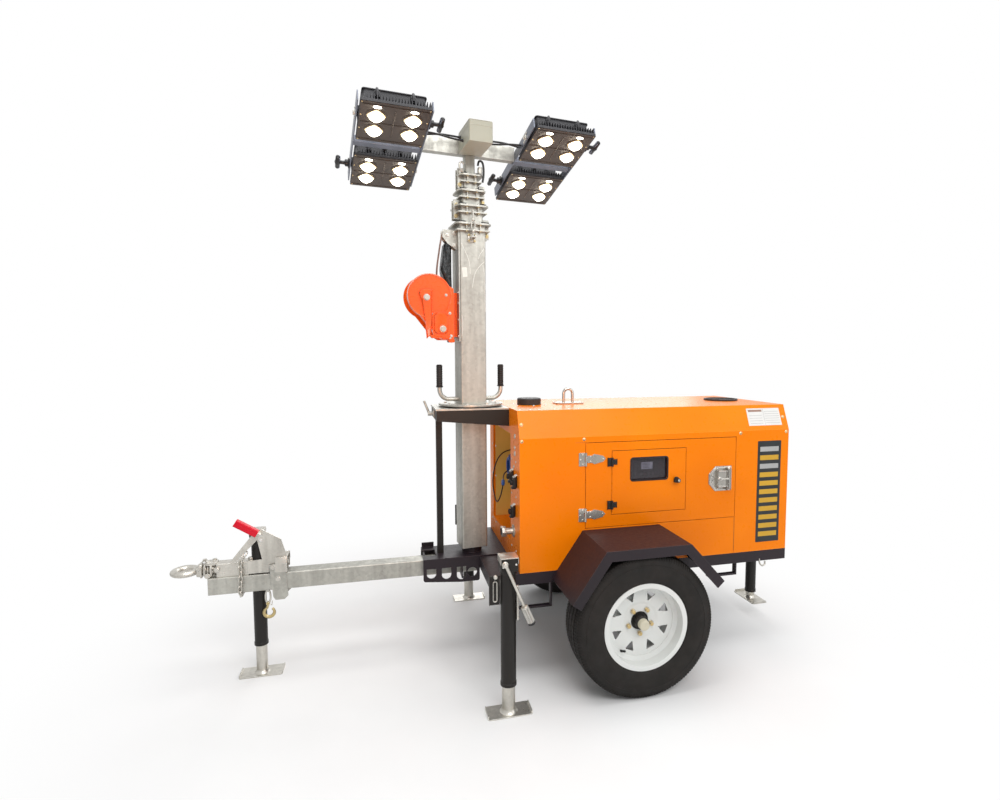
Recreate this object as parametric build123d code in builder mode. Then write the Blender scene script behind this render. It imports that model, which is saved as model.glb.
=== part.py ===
from build123d import *
import math
import os

os.makedirs("parts", exist_ok=True)

# Towable light tower: a generator canopy on a one-axle trailer, with a telescopic mast on its front deck.
# Millimetres. +X points forward to the tow eye, +Y to the left, +Z up, and the ground is z = 0.

# Reaches from the axle set the middle of the whole trailer, which is x = 0
eye_reach = 2042.0
rear_reach = 1035.0
axle_x = (rear_reach - eye_reach) / 2
eye_end = axle_x + eye_reach

# Wheels
tyre_radius = 325.0
tyre_half_width = 94.0
tread_half_width = 74.0
crown_half_width = 36.0
wheel_y = 586.0
seat_radius = 178.0
flange_radius = 195.5
flange_half_width = 83.0
rim_sheet = 4.0
seat_gap = 0.3
window_count = 8
window_ring_radius = 118.0
stub_radius = 17.5
axle_beam = 60.0
drum_radius = 115.0

# Frame under the canopy
body_half = 376.0
canopy_front = axle_x + 498.0
canopy_rear = axle_x - 921.0
deck_front = axle_x + 640.0
rail_bottom = 450.0
rail_height = 51.0
rail_flange = 40.0
rail_sheet = 4.0
floor_sheet = 4.0
floor_bottom = rail_bottom + rail_height
body_bottom = floor_bottom + floor_sheet

# Canopy shell
wall = 20.0
chamfer_z = 1129.0
roof_z = 1253.0
roof_half = 326.0
door_front = axle_x + 180.0
door_rear = axle_x - 614.0
door_bottom = 694.0
door_top = 1098.0
door_gap = 3.0
hatch_front = axle_x + 48.0
hatch_rear = axle_x - 337.0
hatch_bottom = 752.0
hatch_top = 1055.0
hatch_thick = 12.0
hinge_heights = (758.0, 1022.0)
hatch_hinge_heights = (798.0, 1004.0)
hinge_inset = 1.5
hinge_x = door_front + hinge_inset
hinge_offset = 6.0
hinge_gap = 1.0
barrel_radius = 4.5
pin_radius = 2.5
strap_sheet = 3.0
tray_depth = 70.0
tray_sheet = 3.0

# Drawbar and coupling
bar_size = 80.0
bar_wall = 5.0
bar_z = 450.0
bar_front = eye_end - 161.0
housing_front = axle_x + 917.0
housing_half = 100.0
housing_top = body_bottom + 6.0
housing_plate_front = housing_front - 66.0
upper_size = 62.0
upper_front = eye_end - 197.0
upper_rear = eye_end - 332.0
eye_x = eye_end - 62.5
eye_z = bar_z + bar_size / 2 + upper_size / 2
eye_hole_radius = 28.5
eye_ring = 34.0
eye_thick = 28.0

# Jacks
jack_radius = 29.0
jack_foot_length = 190.0
jack_foot_width = 96.0
jack_foot_sheet = 5.0
jack_gap = 0.4
corner_x = axle_x + 600.0
corner_y = 600.0
corner_arm_z = 478.0
corner_arm_radius = 25.0
tongue_x = eye_end - 370.0
rear_jack_x = axle_x - rear_reach + jack_foot_width / 2

# Mast
mast_x = axle_x + 664.0
mast_turned = 7.0
mast = Plane(Location((mast_x, 0, 0), (0, 0, mast_turned)))
mast_bottom = 545.0
slide_gap = 0.3
tube_corner = 8.0
stand_half = 150.0
stand_front = axle_x + 848.0
stand_top = 1252.0
stand_sheet = 8.0
turntable_radius = 160.0
turntable_top = 1268.0
head_bar_bottom = 2475.0
head_bar_height = 68.0
head_bar_depth = 40.0

# Lamps
lamp_width = 296.0
lamp_depth = 269.0
lamp_tilt = 15.0
lamp_x = 387.0
lamp_y = 192.0
lamp_plane_z = 2455.0
lamp_plate = 12.0
led_across = 154.0
led_along = 94.0
led_radius = 40.0
fin_height = 30.0
fin_count = 23
box_height = 43.0
pivot_height = 34.0
pivot_radius = 14.0
frame_bar = 5.0
frame_bar_height = 46.0
frame_gap = 5.0

bar_x = lamp_width / 2 + frame_gap
bar_half = lamp_x - bar_x - frame_bar

axle = Axis((axle_x, 0, tyre_radius), (0, 1, 0))


def save(piece, name):
    piece.part.label = name
    export_step(piece.part, f"parts/{name}.step")


# The right-hand twin of a left-hand piece
def twin(piece):
    with BuildPart() as other:
        mirror(piece.part, about=Plane.XZ)
    return other


# A box from its low corner to its high corner
def block(low, high, mode=Mode.ADD):
    size = [b - a for a, b in zip(low, high)]
    with Locations([tuple((a + b) / 2 for a, b in zip(low, high))]):
        return Box(*size, mode=mode)


# A round bar between two points
def rod(start, end, radius, mode=Mode.ADD):
    direction = Vector(end) - Vector(start)
    with BuildSketch(Plane(origin=start, z_dir=direction)) as ring:
        Circle(radius)
    return extrude(ring.sketch, amount=direction.length, mode=mode)


# The fixed half of a hinge whose pin stands at x: a leaf, its pin and two knuckles
def hinge_leaf(x, z, half, third, length, sheet):
    y = body_half + hinge_offset
    block((x, body_half, z - half), (x + length, body_half + sheet, z + half))
    notch = third + hinge_gap
    block((x - 1, body_half, z - notch), (x + barrel_radius + 1, y, z + notch), mode=Mode.SUBTRACT)
    rod((x, y, z - half), (x, y, z - notch), barrel_radius)
    rod((x, y, z + notch), (x, y, z + half), barrel_radius)
    rod((x, y, z - notch), (x, y, z + notch), pin_radius)


# The moving half: a tab and the knuckle that turns on the pin
def hinge_knuckle(x, z, third, reach):
    y = body_half + hinge_offset
    block((x - reach, y - barrel_radius, z - third), (x, y - 1.5, z + third))
    rod((x, y, z - third), (x, y, z + third), barrel_radius)
    rod((x, y, z - third), (x, y, z + third), pin_radius + seat_gap, mode=Mode.SUBTRACT)


# Wheels
with BuildPart() as tyre_left:
    with BuildSketch(Plane.YZ.offset(axle_x)) as section:
        with BuildLine(Location((wheel_y, tyre_radius))):
            inner = seat_radius + seat_gap
            bead = flange_half_width - rim_sheet - seat_gap
            shoulder = tyre_radius - 14
            edge = tyre_radius - 4
            Polyline((-bead, flange_radius), (-bead, inner), (bead, inner), (bead, flange_radius))
            outer_side = [
                (bead, flange_radius),
                (tyre_half_width - 2, 222),
                (tyre_half_width, 256),
                (tyre_half_width - 4, 288),
                (tread_half_width + 8, shoulder),
                (tread_half_width, edge),
                (crown_half_width, tyre_radius),
            ]
            Polyline(*outer_side, *[(-y, radius) for y, radius in reversed(outer_side)])
        make_face()
    revolve(axis=axle)

with BuildPart() as rim_left:
    with BuildSketch(Plane.YZ.offset(axle_x)) as section:
        w = flange_half_width
        s = rim_sheet
        with Locations((wheel_y, tyre_radius)):
            Polygon(
                (-w, flange_radius),
                (-w, seat_radius - s),
                (-49, seat_radius - s),
                (-38, 156),
                (24, 156),
                (34, seat_radius - s),
                (w, seat_radius - s),
                (w, flange_radius),
                (w - s, flange_radius),
                (w - s, seat_radius),
                (31, seat_radius),
                (21, 160),
                (-35, 160),
                (-46, seat_radius),
                (s - w, seat_radius),
                (s - w, flange_radius),
                align=None,
            )
            Polygon(
                (20, 158),
                (15, 158),
                (8, 88),
                (5, 76),
                (5, 42),
                (10, 42),
                (10, 76),
                (13, 88),
                align=None,
            )
    revolve(axis=axle)
    with BuildSketch(Plane(origin=(axle_x, wheel_y, tyre_radius), x_dir=(1, 0, 0), z_dir=(0, 1, 0))) as windows:
        with PolarLocations(window_ring_radius, window_count, start_angle=360 / window_count / 2):
            Polygon((-25, 0), (19, -23), (19, 23), align=None)
        chamfer(windows.vertices(), 4)
    extrude(amount=40, both=True, mode=Mode.SUBTRACT)

# Hub with its brake drum, bolted to the rim
with BuildPart() as hub:
    with BuildSketch(Plane.YZ.offset(axle_x)) as section:
        bore = stub_radius + seat_gap
        with Locations((wheel_y, tyre_radius)):
            Polygon(
                (-65, bore),
                (-65, drum_radius),
                (-12, drum_radius),
                (-6, 75),
                (5, 75),
                (5, 30),
                (38, 30),
                (44, 24),
                (64, 22),
                (66, 0),
                (22, 0),
                (22, bore),
                align=None,
            )
    revolve(axis=axle)

with BuildPart() as wheel_left:
    add(rim_left.part)
    add(hub.part)

with BuildPart() as axle_beam_piece:
    beam_half = wheel_y - 65 - 5
    half = axle_beam / 2
    block((axle_x - half, -beam_half, tyre_radius - half), (axle_x + half, beam_half, tyre_radius + half))
    stub_end = wheel_y + 22 - seat_gap
    rod((axle_x, -stub_end, tyre_radius), (axle_x, stub_end, tyre_radius), stub_radius)

spring_y = body_half - rail_flange / 2 - 8
spring_half_width = 25.0
spring_reach = 290.0
spring_leaf = 16.0
spring_eye_z = rail_bottom - 22
with BuildPart() as running_gear:
    add(axle_beam_piece.part)
    seat = tyre_radius + axle_beam / 2
    with BuildSketch(Plane.XZ.offset(-spring_y - spring_half_width)) as leaf:
        with BuildLine(Location((axle_x, 0))):
            ThreePointArc((-spring_reach, spring_eye_z), (0, seat), (spring_reach, spring_eye_z))
            Line((spring_reach, spring_eye_z), (spring_reach, spring_eye_z + spring_leaf))
            ThreePointArc(
                (spring_reach, spring_eye_z + spring_leaf),
                (0, seat + spring_leaf),
                (-spring_reach, spring_eye_z + spring_leaf),
            )
            Line((-spring_reach, spring_eye_z + spring_leaf), (-spring_reach, spring_eye_z))
        make_face()
        with Locations((axle_x - spring_reach, rail_bottom - 18), (axle_x + spring_reach, rail_bottom - 18)):
            Rectangle(34, 36)
    spring = extrude(amount=2 * spring_half_width)
    mirror(spring, about=Plane.XZ)

# Frame, with forklift hoops under its rails
with BuildPart() as frame_rails:
    with BuildSketch(Plane.YZ.offset(canopy_rear + rail_sheet)) as rail_section:
        with Locations((body_half, rail_bottom)):
            Rectangle(rail_flange, rail_height, align=(Align.MAX, Align.MIN))
        with Locations((body_half - rail_sheet, rail_bottom + rail_sheet)):
            Rectangle(
                rail_flange,
                rail_height - 2 * rail_sheet,
                align=(Align.MAX, Align.MIN),
                mode=Mode.SUBTRACT,
            )
    extrude(amount=deck_front - canopy_rear - 2 * rail_sheet)
    mirror(about=Plane.XZ)

cross_member_offsets = (-880.0, -420.0, 60.0, 470.0)
hoop_bar = 26.0
hoop_places = ((342.0, 560.0, 332.0), (-640.0, -480.0, 388.0))  # rear x, front x, bottom z
with BuildPart() as under_frame:
    for offset_x in cross_member_offsets:
        reach = body_half - rail_flange
        x = axle_x + offset_x
        block((x - 20, -reach, rail_bottom), (x + 20, reach, floor_bottom))
    hoop_y = body_half - 6
    for back, front, bottom in hoop_places:
        for low_y in (-hoop_y, hoop_y - hoop_bar):
            block((axle_x + back, low_y, bottom), (axle_x + front, low_y + hoop_bar, bottom + 8))
            for x in (axle_x + back, axle_x + front - 8):
                block((x, low_y, bottom), (x + 8, low_y + hoop_bar, rail_bottom))

with BuildPart() as base_floor:
    block((canopy_rear, -body_half, floor_bottom), (deck_front, body_half, body_bottom))
    block((deck_front - rail_sheet, -body_half, rail_bottom), (deck_front, body_half, floor_bottom))
    block((canopy_rear, -body_half, rail_bottom), (canopy_rear + rail_sheet, body_half, floor_bottom))

housing_sheet = 6.0
hole_pitch = 73.5
hole_radius = 23.0
hole_top = 462.0
hole_bottoms = (414.0, 405.0, 396.0)
bulkhead_bottom = 402.0
bearing_radius = 50.0
pivot_pin_radius = 25.0
with BuildPart() as drawbar_housing:
    with BuildSketch(Plane.XZ.offset(-housing_half)) as cheek:
        Polygon(
            (deck_front, floor_bottom + 4),
            (deck_front, 384),
            (deck_front + 92, 384),
            (housing_front, 400),
            (housing_front, floor_bottom + 4),
            align=None,
        )
        fillet(cheek.vertices().sort_by(Axis.Y)[0:3], 12)
        for step, hole_bottom in enumerate(hole_bottoms):
            hole_x = housing_front - 39 - step * hole_pitch
            arc_z = hole_bottom + hole_radius
            with Locations((hole_x, arc_z)):
                Circle(hole_radius, mode=Mode.SUBTRACT)
            with Locations((hole_x, (arc_z + hole_top) / 2)):
                Rectangle(2 * hole_radius, hole_top - arc_z, mode=Mode.SUBTRACT)
        with Locations((deck_front + 38, 430)):
            Circle(24, mode=Mode.SUBTRACT)
    extrude(amount=housing_sheet)
    mirror(about=Plane.XZ)
    lower = body_bottom
    block((deck_front - 110, -housing_half, lower), (housing_plate_front, housing_half, housing_top))
    for low_y in (-housing_half, bar_size / 2 + 6):
        flange_width = housing_half - bar_size / 2 - 6
        block((housing_plate_front, low_y, lower), (housing_front, low_y + flange_width, housing_top))
    upstand_y = housing_sheet - housing_half
    block((housing_plate_front, -housing_half, lower), (housing_front - 4, upstand_y, lower + 30))
    for plate_x in (housing_front - 8, deck_front + 90):
        with BuildSketch(Plane.YZ.offset(plate_x)) as bulkhead:
            with Locations((0, (bulkhead_bottom + body_bottom) / 2)):
                Rectangle(2 * housing_half, body_bottom - bulkhead_bottom)
            with Locations((0, bar_z)):
                Rectangle(bar_size + 2 * seat_gap, bar_size + 2 * seat_gap, mode=Mode.SUBTRACT)
        extrude(amount=-6)
    with Locations(Location((mast_x, 0, housing_top))):
        Cylinder(bearing_radius, mast_bottom - housing_top - 4, align=(Align.CENTER, Align.CENTER, Align.MIN))
    with Locations(Location((mast_x, 0, housing_top + 3))):
        Cylinder(
            pivot_pin_radius + seat_gap,
            60,
            align=(Align.CENTER, Align.CENTER, Align.MIN),
            mode=Mode.SUBTRACT,
        )

# Canopy: one shell section, cut where the real panels meet
canopy_outline = [
    (-body_half, body_bottom - wall),
    (-body_half, chamfer_z),
    (-roof_half, roof_z),
    (roof_half, roof_z),
    (body_half, chamfer_z),
    (body_half, body_bottom - wall),
]
with BuildPart() as canopy_shell:
    with BuildSketch(Plane.YZ.offset(canopy_rear)) as shell_section:
        Polygon(*canopy_outline, align=None)
        offset(amount=-wall, kind=Kind.INTERSECTION, mode=Mode.SUBTRACT)
    extrude(amount=canopy_front - canopy_rear)

with BuildPart() as canopy_roof:
    add(canopy_shell.part)
    block((canopy_rear, -body_half, chamfer_z), (canopy_front, body_half, roof_z), mode=Mode.INTERSECT)

seam_width = 3.0
seam_depth = 2.0
with BuildPart() as canopy_left:
    add(canopy_shell.part)
    block((canopy_rear, 0, body_bottom), (canopy_front, body_half, chamfer_z), mode=Mode.INTERSECT)
    block(
        (door_rear - door_gap, 0, door_bottom - door_gap),
        (door_front + door_gap, body_half, door_top + door_gap),
        mode=Mode.SUBTRACT,
    )
    block(
        (door_rear - door_gap, body_half - seam_depth, body_bottom),
        (door_rear - door_gap + seam_width, body_half, door_bottom),
        mode=Mode.SUBTRACT,
    )

bay_low_y = -280.0
bay_high_y = 180.0
bay_bottom = 600.0
bay_top = 1130.0
bay_depth = 120.0
bay_sheet = 10.0
with BuildPart() as canopy_front_wall:
    with BuildSketch(Plane.YZ.offset(canopy_front - wall)) as front_outline:
        Polygon(*canopy_outline, align=None)
        offset(amount=-wall, kind=Kind.INTERSECTION)
    extrude(amount=wall)
    block(
        (canopy_front - bay_depth - bay_sheet, bay_low_y - bay_sheet, bay_bottom - bay_sheet),
        (canopy_front - wall, bay_high_y + bay_sheet, bay_top + bay_sheet),
    )
    block(
        (canopy_front - bay_depth, bay_low_y, bay_bottom),
        (canopy_front, bay_high_y, bay_top),
        mode=Mode.SUBTRACT,
    )

with BuildPart() as canopy_rear_wall:
    with BuildSketch(Plane.YZ.offset(canopy_rear)) as rear_outline:
        Polygon(*canopy_outline, align=None)
        offset(amount=-wall, kind=Kind.INTERSECTION)
    extrude(amount=wall)

engine_front = canopy_front - bay_depth - 10
engine_half = 150.0
engine_length = 656.0
engine_height = 400.0
with BuildPart() as engine_block:
    engine_rear = engine_front - engine_length
    engine_top = body_bottom + engine_height
    block((engine_rear, -engine_half, body_bottom), (engine_front, engine_half, engine_top))

# Service doors, hinged at their front edge
with BuildPart() as service_door_left:
    block((door_rear, body_half - wall, door_bottom), (door_front, body_half, door_top))
    block(
        (hatch_rear - door_gap, 0, hatch_bottom - door_gap),
        (hatch_front + door_gap, body_half, hatch_top + door_gap),
        mode=Mode.SUBTRACT,
    )

with BuildPart() as control_panel:
    low = Vector(hatch_rear - 12, body_half - wall - tray_depth, hatch_bottom - 12)
    high = Vector(hatch_front + 12, body_half - wall, hatch_top + 12)
    inset = Vector(tray_sheet, tray_sheet, tray_sheet)
    block(tuple(low), tuple(high))
    block(tuple(low + inset), (high.X - tray_sheet, body_half, high.Z - tray_sheet), mode=Mode.SUBTRACT)

window_low = (axle_x - 242.0, 906.0)
window_high = (axle_x - 45.0, 1019.0)
with BuildPart() as control_door:
    block((hatch_rear, body_half - hatch_thick, hatch_bottom), (hatch_front, body_half, hatch_top))
    with BuildSketch(Plane.XZ.offset(-body_half)) as window_hole:
        with Locations(((window_low[0] + window_high[0]) / 2, (window_low[1] + window_high[1]) / 2)):
            RectangleRounded(window_high[0] - window_low[0], window_high[1] - window_low[1], 14)
    extrude(amount=hatch_thick, mode=Mode.SUBTRACT)
    knob = (axle_x - 287, body_half, 901)
    rod(knob, (knob[0], body_half + 6, knob[2]), 13)
    rod(knob, (knob[0], body_half + 22, knob[2]), 8)
    for z in hatch_hinge_heights:
        block((hatch_front - 22, body_half, z - 10), (hatch_front - 6, body_half + strap_sheet, z + 10))
        hinge_knuckle(hatch_front + hinge_inset, z, 7, hinge_inset + 8)

pane = 4.0
with BuildPart() as control_window:
    block(
        (window_low[0] - 10, body_half - hatch_thick - pane, window_low[1] - 10),
        (window_high[0] + 10, body_half - hatch_thick, window_high[1] + 10),
    )

with BuildPart() as service_door_right:
    block((door_rear, -body_half, door_bottom), (door_front, wall - body_half, door_top))

latch_x = axle_x - 527.0
latch_z = 894.0
with BuildPart() as door_hardware:
    with BuildSketch(Plane.XZ.offset(-body_half)) as straps:
        for z in hinge_heights:
            with Locations((door_front, z)):
                Polygon(
                    (-6, -17),
                    (-6, 17),
                    (-30, 17),
                    (-40, 24),
                    (-84, 14),
                    (-97, 0),
                    (-84, -14),
                    (-40, -24),
                    (-30, -17),
                    align=None,
                )
        with Locations((latch_x, latch_z)):
            Polygon((-63, -62), (28, -62), (63, -24), (63, 24), (28, 62), (-63, 62), align=None)
    extrude(amount=-strap_sheet)
    block((latch_x - 50, body_half, latch_z - 40), (latch_x + 20, body_half + 14, latch_z + 40))
    for z in hinge_heights:
        hinge_knuckle(hinge_x, z, 10, hinge_inset + 8)

with BuildPart() as door_hardware_left:
    add(door_hardware.part)
    for z in hatch_hinge_heights:
        hinge_leaf(hatch_front + hinge_inset, z, 20, 7, 18, strap_sheet)

with BuildPart() as hinge_leaves:
    for z in hinge_heights:
        hinge_leaf(hinge_x, z, 31, 10, 34, strap_sheet)
    mirror(about=Plane.XZ)

# Fenders: bent sheet with a skirt along its outer edge
fender_sheet = 4.0
fender_outer = 690.0
skirt = 44.0
fender_top = 2 * tyre_radius + 35
fender_flat = 0.6 * tyre_radius
fender_line = [
    (axle_x + tyre_radius + 20, 470),
    (axle_x + fender_flat, fender_top),
    (axle_x - fender_flat - 5, fender_top),
    (axle_x - tyre_radius - 40, 505),
]
with BuildPart() as fenders:
    with BuildSketch(Plane.XZ.offset(-body_half)) as fender_band:
        with BuildLine():
            Polyline(*fender_line)
            offset(amount=fender_sheet, side=Side.LEFT)
        make_face()
    extrude(amount=-(fender_outer - body_half))
    with BuildSketch(Plane.XZ.offset(-fender_outer)) as skirt_band:
        with BuildLine():
            Polyline(*fender_line)
            offset(amount=skirt, side=Side.LEFT)
        make_face()
    extrude(amount=fender_sheet)
    mirror(about=Plane.XZ)

# Drawbar
with BuildPart() as drawbar_tube:
    with BuildSketch(Plane.YZ.offset(deck_front + 6)) as bar_section:
        with Locations((0, bar_z)):
            RectangleRounded(bar_size, bar_size, 6)
            Rectangle(bar_size - 2 * bar_wall, bar_size - 2 * bar_wall, mode=Mode.SUBTRACT)
    extrude(amount=bar_front - deck_front - 6)
    bore_low = bar_z - bar_size
    bore_high = bar_z + bar_size
    rod((tongue_x, 0, bore_low), (tongue_x, 0, bore_high), jack_radius + seat_gap, mode=Mode.SUBTRACT)

with BuildPart() as overrun_tube:
    low_z = bar_z + bar_size / 2
    block((upper_rear, -upper_size / 2, low_z), (upper_front, upper_size / 2, low_z + upper_size))
    rod((upper_front - 60, 0, eye_z), (upper_front, 0, eye_z), 18 + seat_gap, mode=Mode.SUBTRACT)
    fillet(overrun_tube.edges().filter_by(Axis.X).group_by(Axis.Z)[-1], 6)

with BuildPart() as tow_eye:
    with BuildSketch(Plane.XZ) as ring_section:
        with Locations((eye_x + eye_hole_radius + eye_ring / 2, eye_z)):
            Rectangle(eye_ring, eye_thick)
        chamfer(ring_section.vertices(), 9)
    revolve(axis=Axis((eye_x, 0, eye_z), (0, 0, 1)))
    back = eye_x - eye_hole_radius - 6
    block((back - 22, -20, eye_z - 13), (back, 20, eye_z + 13))
    block((back - 40, -30, eye_z - 28), (back - 18, 30, eye_z + 28))
    rod((upper_front - 50, 0, eye_z), (back - 20, 0, eye_z), 18)
    rod((eye_x, 0, eye_z - 30), (eye_x, 0, eye_z + 30), eye_hole_radius, mode=Mode.SUBTRACT)

neck_front = eye_x - eye_hole_radius - 46
neck_low = 24.0
neck_high = 30.0
with BuildPart() as overrun_coupling:
    add(overrun_tube.part)
    with BuildSketch(Plane.XZ) as neck_section:
        neck_step = (neck_front - upper_front) / 8
        points = [(upper_front, eye_z + 18.3)]
        for i in range(9):
            rib = neck_high if i % 2 else neck_low
            points.append((upper_front + i * neck_step, eye_z + rib))
        points.append((neck_front, eye_z + 18.3))
        Polygon(*points, align=None)
    revolve(axis=Axis((eye_x, 0, eye_z), (1, 0, 0)))

clamp_half = bar_size / 2 + 6
with BuildPart() as drawbar_clamp:
    with BuildSketch(Plane.XZ.offset(-clamp_half)) as clamp_side:
        Polygon(
            (eye_end - 486, 364),
            (eye_end - 446, 364),
            (eye_end - 436, 380),
            (eye_end - 423, 533),
            (eye_end - 490, 533),
            (eye_end - 502, 380),
            align=None,
        )
    extrude(amount=2 * clamp_half)
    block((eye_end - 542, 6 - clamp_half, 350), (eye_end - 382, clamp_half - 6, 527), mode=Mode.SUBTRACT)

bracket_y = upper_size / 2
with BuildPart() as handbrake:
    with BuildSketch(Plane.XZ.offset(-bracket_y)) as sector:
        Polygon(
            (eye_end - 330, 496),
            (eye_end - 330, 556),
            (eye_end - 392, 560),
            (eye_end - 366, 690),
            (eye_end - 392, 704),
            (eye_end - 476, 650),
            (eye_end - 507, 540),
            (eye_end - 507, 534),
            (eye_end - 422, 534),
            (eye_end - 422, 496),
            align=None,
        )
    extrude(amount=-5)
    with BuildSketch(Plane.XZ.offset(-bracket_y - 5)) as lever_outline:
        Polygon(
            (eye_end - 254, 556),
            (eye_end - 278, 556),
            (eye_end - 396, 676),
            (eye_end - 388, 696),
            (eye_end - 368, 698),
            align=None,
        )
    extrude(amount=-6)
    rod((eye_end - 390, bracket_y + 14, 680), (eye_end - 366, bracket_y + 14, 700), 9)
    rod((eye_end - 380, bracket_y + 14, 684), (eye_end - 290, bracket_y + 14, 742), 14)

# Jacks: outer tubes on the frame, legs that wind down inside them
corner_tube = 32.5
corner_head = 36.0
corner_tube_bottom = 121.0
corner_tube_top = 620.0
jack_table = (
    # name, x, y, outer radius, head half width, outer bottom z, outer top z, foot z, foot turned
    ("tongue", tongue_x, 0.0, jack_radius, 30.0, 140.0, 640.0, 0.0, 0.0),
    ("corner_left", corner_x, corner_y, corner_tube, corner_head, corner_tube_bottom, corner_tube_top, 0.0, 0.0),
    ("rear", rear_jack_x, 0.0, jack_radius, 30.0, 118.0, 590.0, 78.0, 90.0),
)
jack_wall = 4.0
jack_outers = {}
jack_legs = {}
for name, x, y, radius, half, low, high, foot_z, turned in jack_table:
    bore = radius - jack_wall
    foot = Plane(Location((x, y, foot_z), (0, 0, turned)))
    with BuildPart() as outer:
        with Locations(Location((x, y, low))):
            Cylinder(radius, high - low, align=(Align.CENTER, Align.CENTER, Align.MIN))
            Cylinder(bore, high - low - 20, align=(Align.CENTER, Align.CENTER, Align.MIN), mode=Mode.SUBTRACT)
        block((x - half, y - half, high), (x + half, y + half, high + 55))
    with BuildPart() as leg:
        with Locations(Location((x, y, foot_z + jack_foot_sheet))):
            Cylinder(bore - jack_gap, high - 340, align=(Align.CENTER, Align.CENTER, Align.MIN))
        with BuildSketch(foot) as foot_outline:
            RectangleRounded(jack_foot_length, jack_foot_width, 10)
        extrude(amount=jack_foot_sheet)
        with BuildSketch(foot.offset(jack_foot_sheet)) as foot_edges:
            with Locations((-jack_foot_length / 2 + 2, 0), (jack_foot_length / 2 - 2, 0)):
                Rectangle(4, jack_foot_width - 20)
        extrude(amount=9)
    jack_outers[name] = outer
    jack_legs[name] = leg

# The corner jacks swivel on a round arm that stands out of the front deck's side
arm_end = corner_y - 22
with BuildPart() as jack_brackets:
    rod((corner_x, body_half, corner_arm_z), (corner_x, arm_end, corner_arm_z), corner_arm_radius)
    mirror(about=Plane.XZ)
    block((rear_jack_x + 26, -40, 430), (canopy_rear, 40, 500))
    rod((rear_jack_x, 0, 400), (rear_jack_x, 0, 530), jack_radius, mode=Mode.SUBTRACT)

with BuildPart() as jack_tubes:
    add(jack_outers["tongue"].part)
    add(jack_outers["rear"].part)

with BuildPart() as corner_jack_left:
    add(jack_outers["corner_left"].part)
    rod((corner_x, corner_y - 100, corner_arm_z), (corner_x, corner_y, corner_arm_z), corner_arm_radius + 9)
    rod(
        (corner_x, corner_y - 110, corner_arm_z),
        (corner_x, corner_y - 21, corner_arm_z),
        corner_arm_radius + seat_gap,
        mode=Mode.SUBTRACT,
    )
    with Locations(Location((corner_x, corner_y, corner_tube_bottom))):
        Cylinder(
            corner_tube - jack_wall,
            corner_tube_top - corner_tube_bottom - 20,
            align=(Align.CENTER, Align.CENTER, Align.MIN),
            mode=Mode.SUBTRACT,
        )

    crank_y = corner_y + corner_head
    rod((corner_x + 20, crank_y, 652), (corner_x + 20, crank_y + 16, 652), 8)
    rod((corner_x + 22, crank_y + 12, 660), (corner_x - 62, crank_y + 12, 462), 6)
    rod((corner_x - 60, crank_y + 12, 467), (corner_x - 88, crank_y + 12, 401), 13)

# Stand: the fixed top bearing plate that carries the mast ahead of the canopy
with BuildPart() as mast_stand:
    with BuildSketch(Plane.XZ.offset(-stand_half)) as wedge:
        Polygon(
            (canopy_front, stand_top - stand_sheet - 82),
            (stand_front, stand_top - stand_sheet - 50),
            (stand_front, stand_top - stand_sheet),
            (canopy_front, stand_top - stand_sheet),
            align=None,
        )
    extrude(amount=stand_sheet)
    mirror(about=Plane.XZ)
    top = stand_top - stand_sheet
    block((stand_front - stand_sheet, -stand_half, top - 50), (stand_front, stand_half, top))
    back = stand_front - stand_sheet - 30
    block((back, -17, housing_top), (stand_front - stand_sheet, 17, top))

with BuildPart() as stand_plate:
    block((canopy_front, -stand_half, top), (stand_front + 4, stand_half, stand_top))
    with Locations(Location((mast_x, 0, top - 1))):
        Cylinder(
            100,
            stand_sheet + 2,
            align=(Align.CENTER, Align.CENTER, Align.MIN),
            mode=Mode.SUBTRACT,
        )
    rod((stand_front, 0, 1218), (stand_front + 30, 0, 1218), 11)
    rod((stand_front + 22, 0, 1214), (stand_front + 48, 0, 1282), 6)
    block((stand_front, -24, 1200), (stand_front + 4, 24, top))

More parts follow.
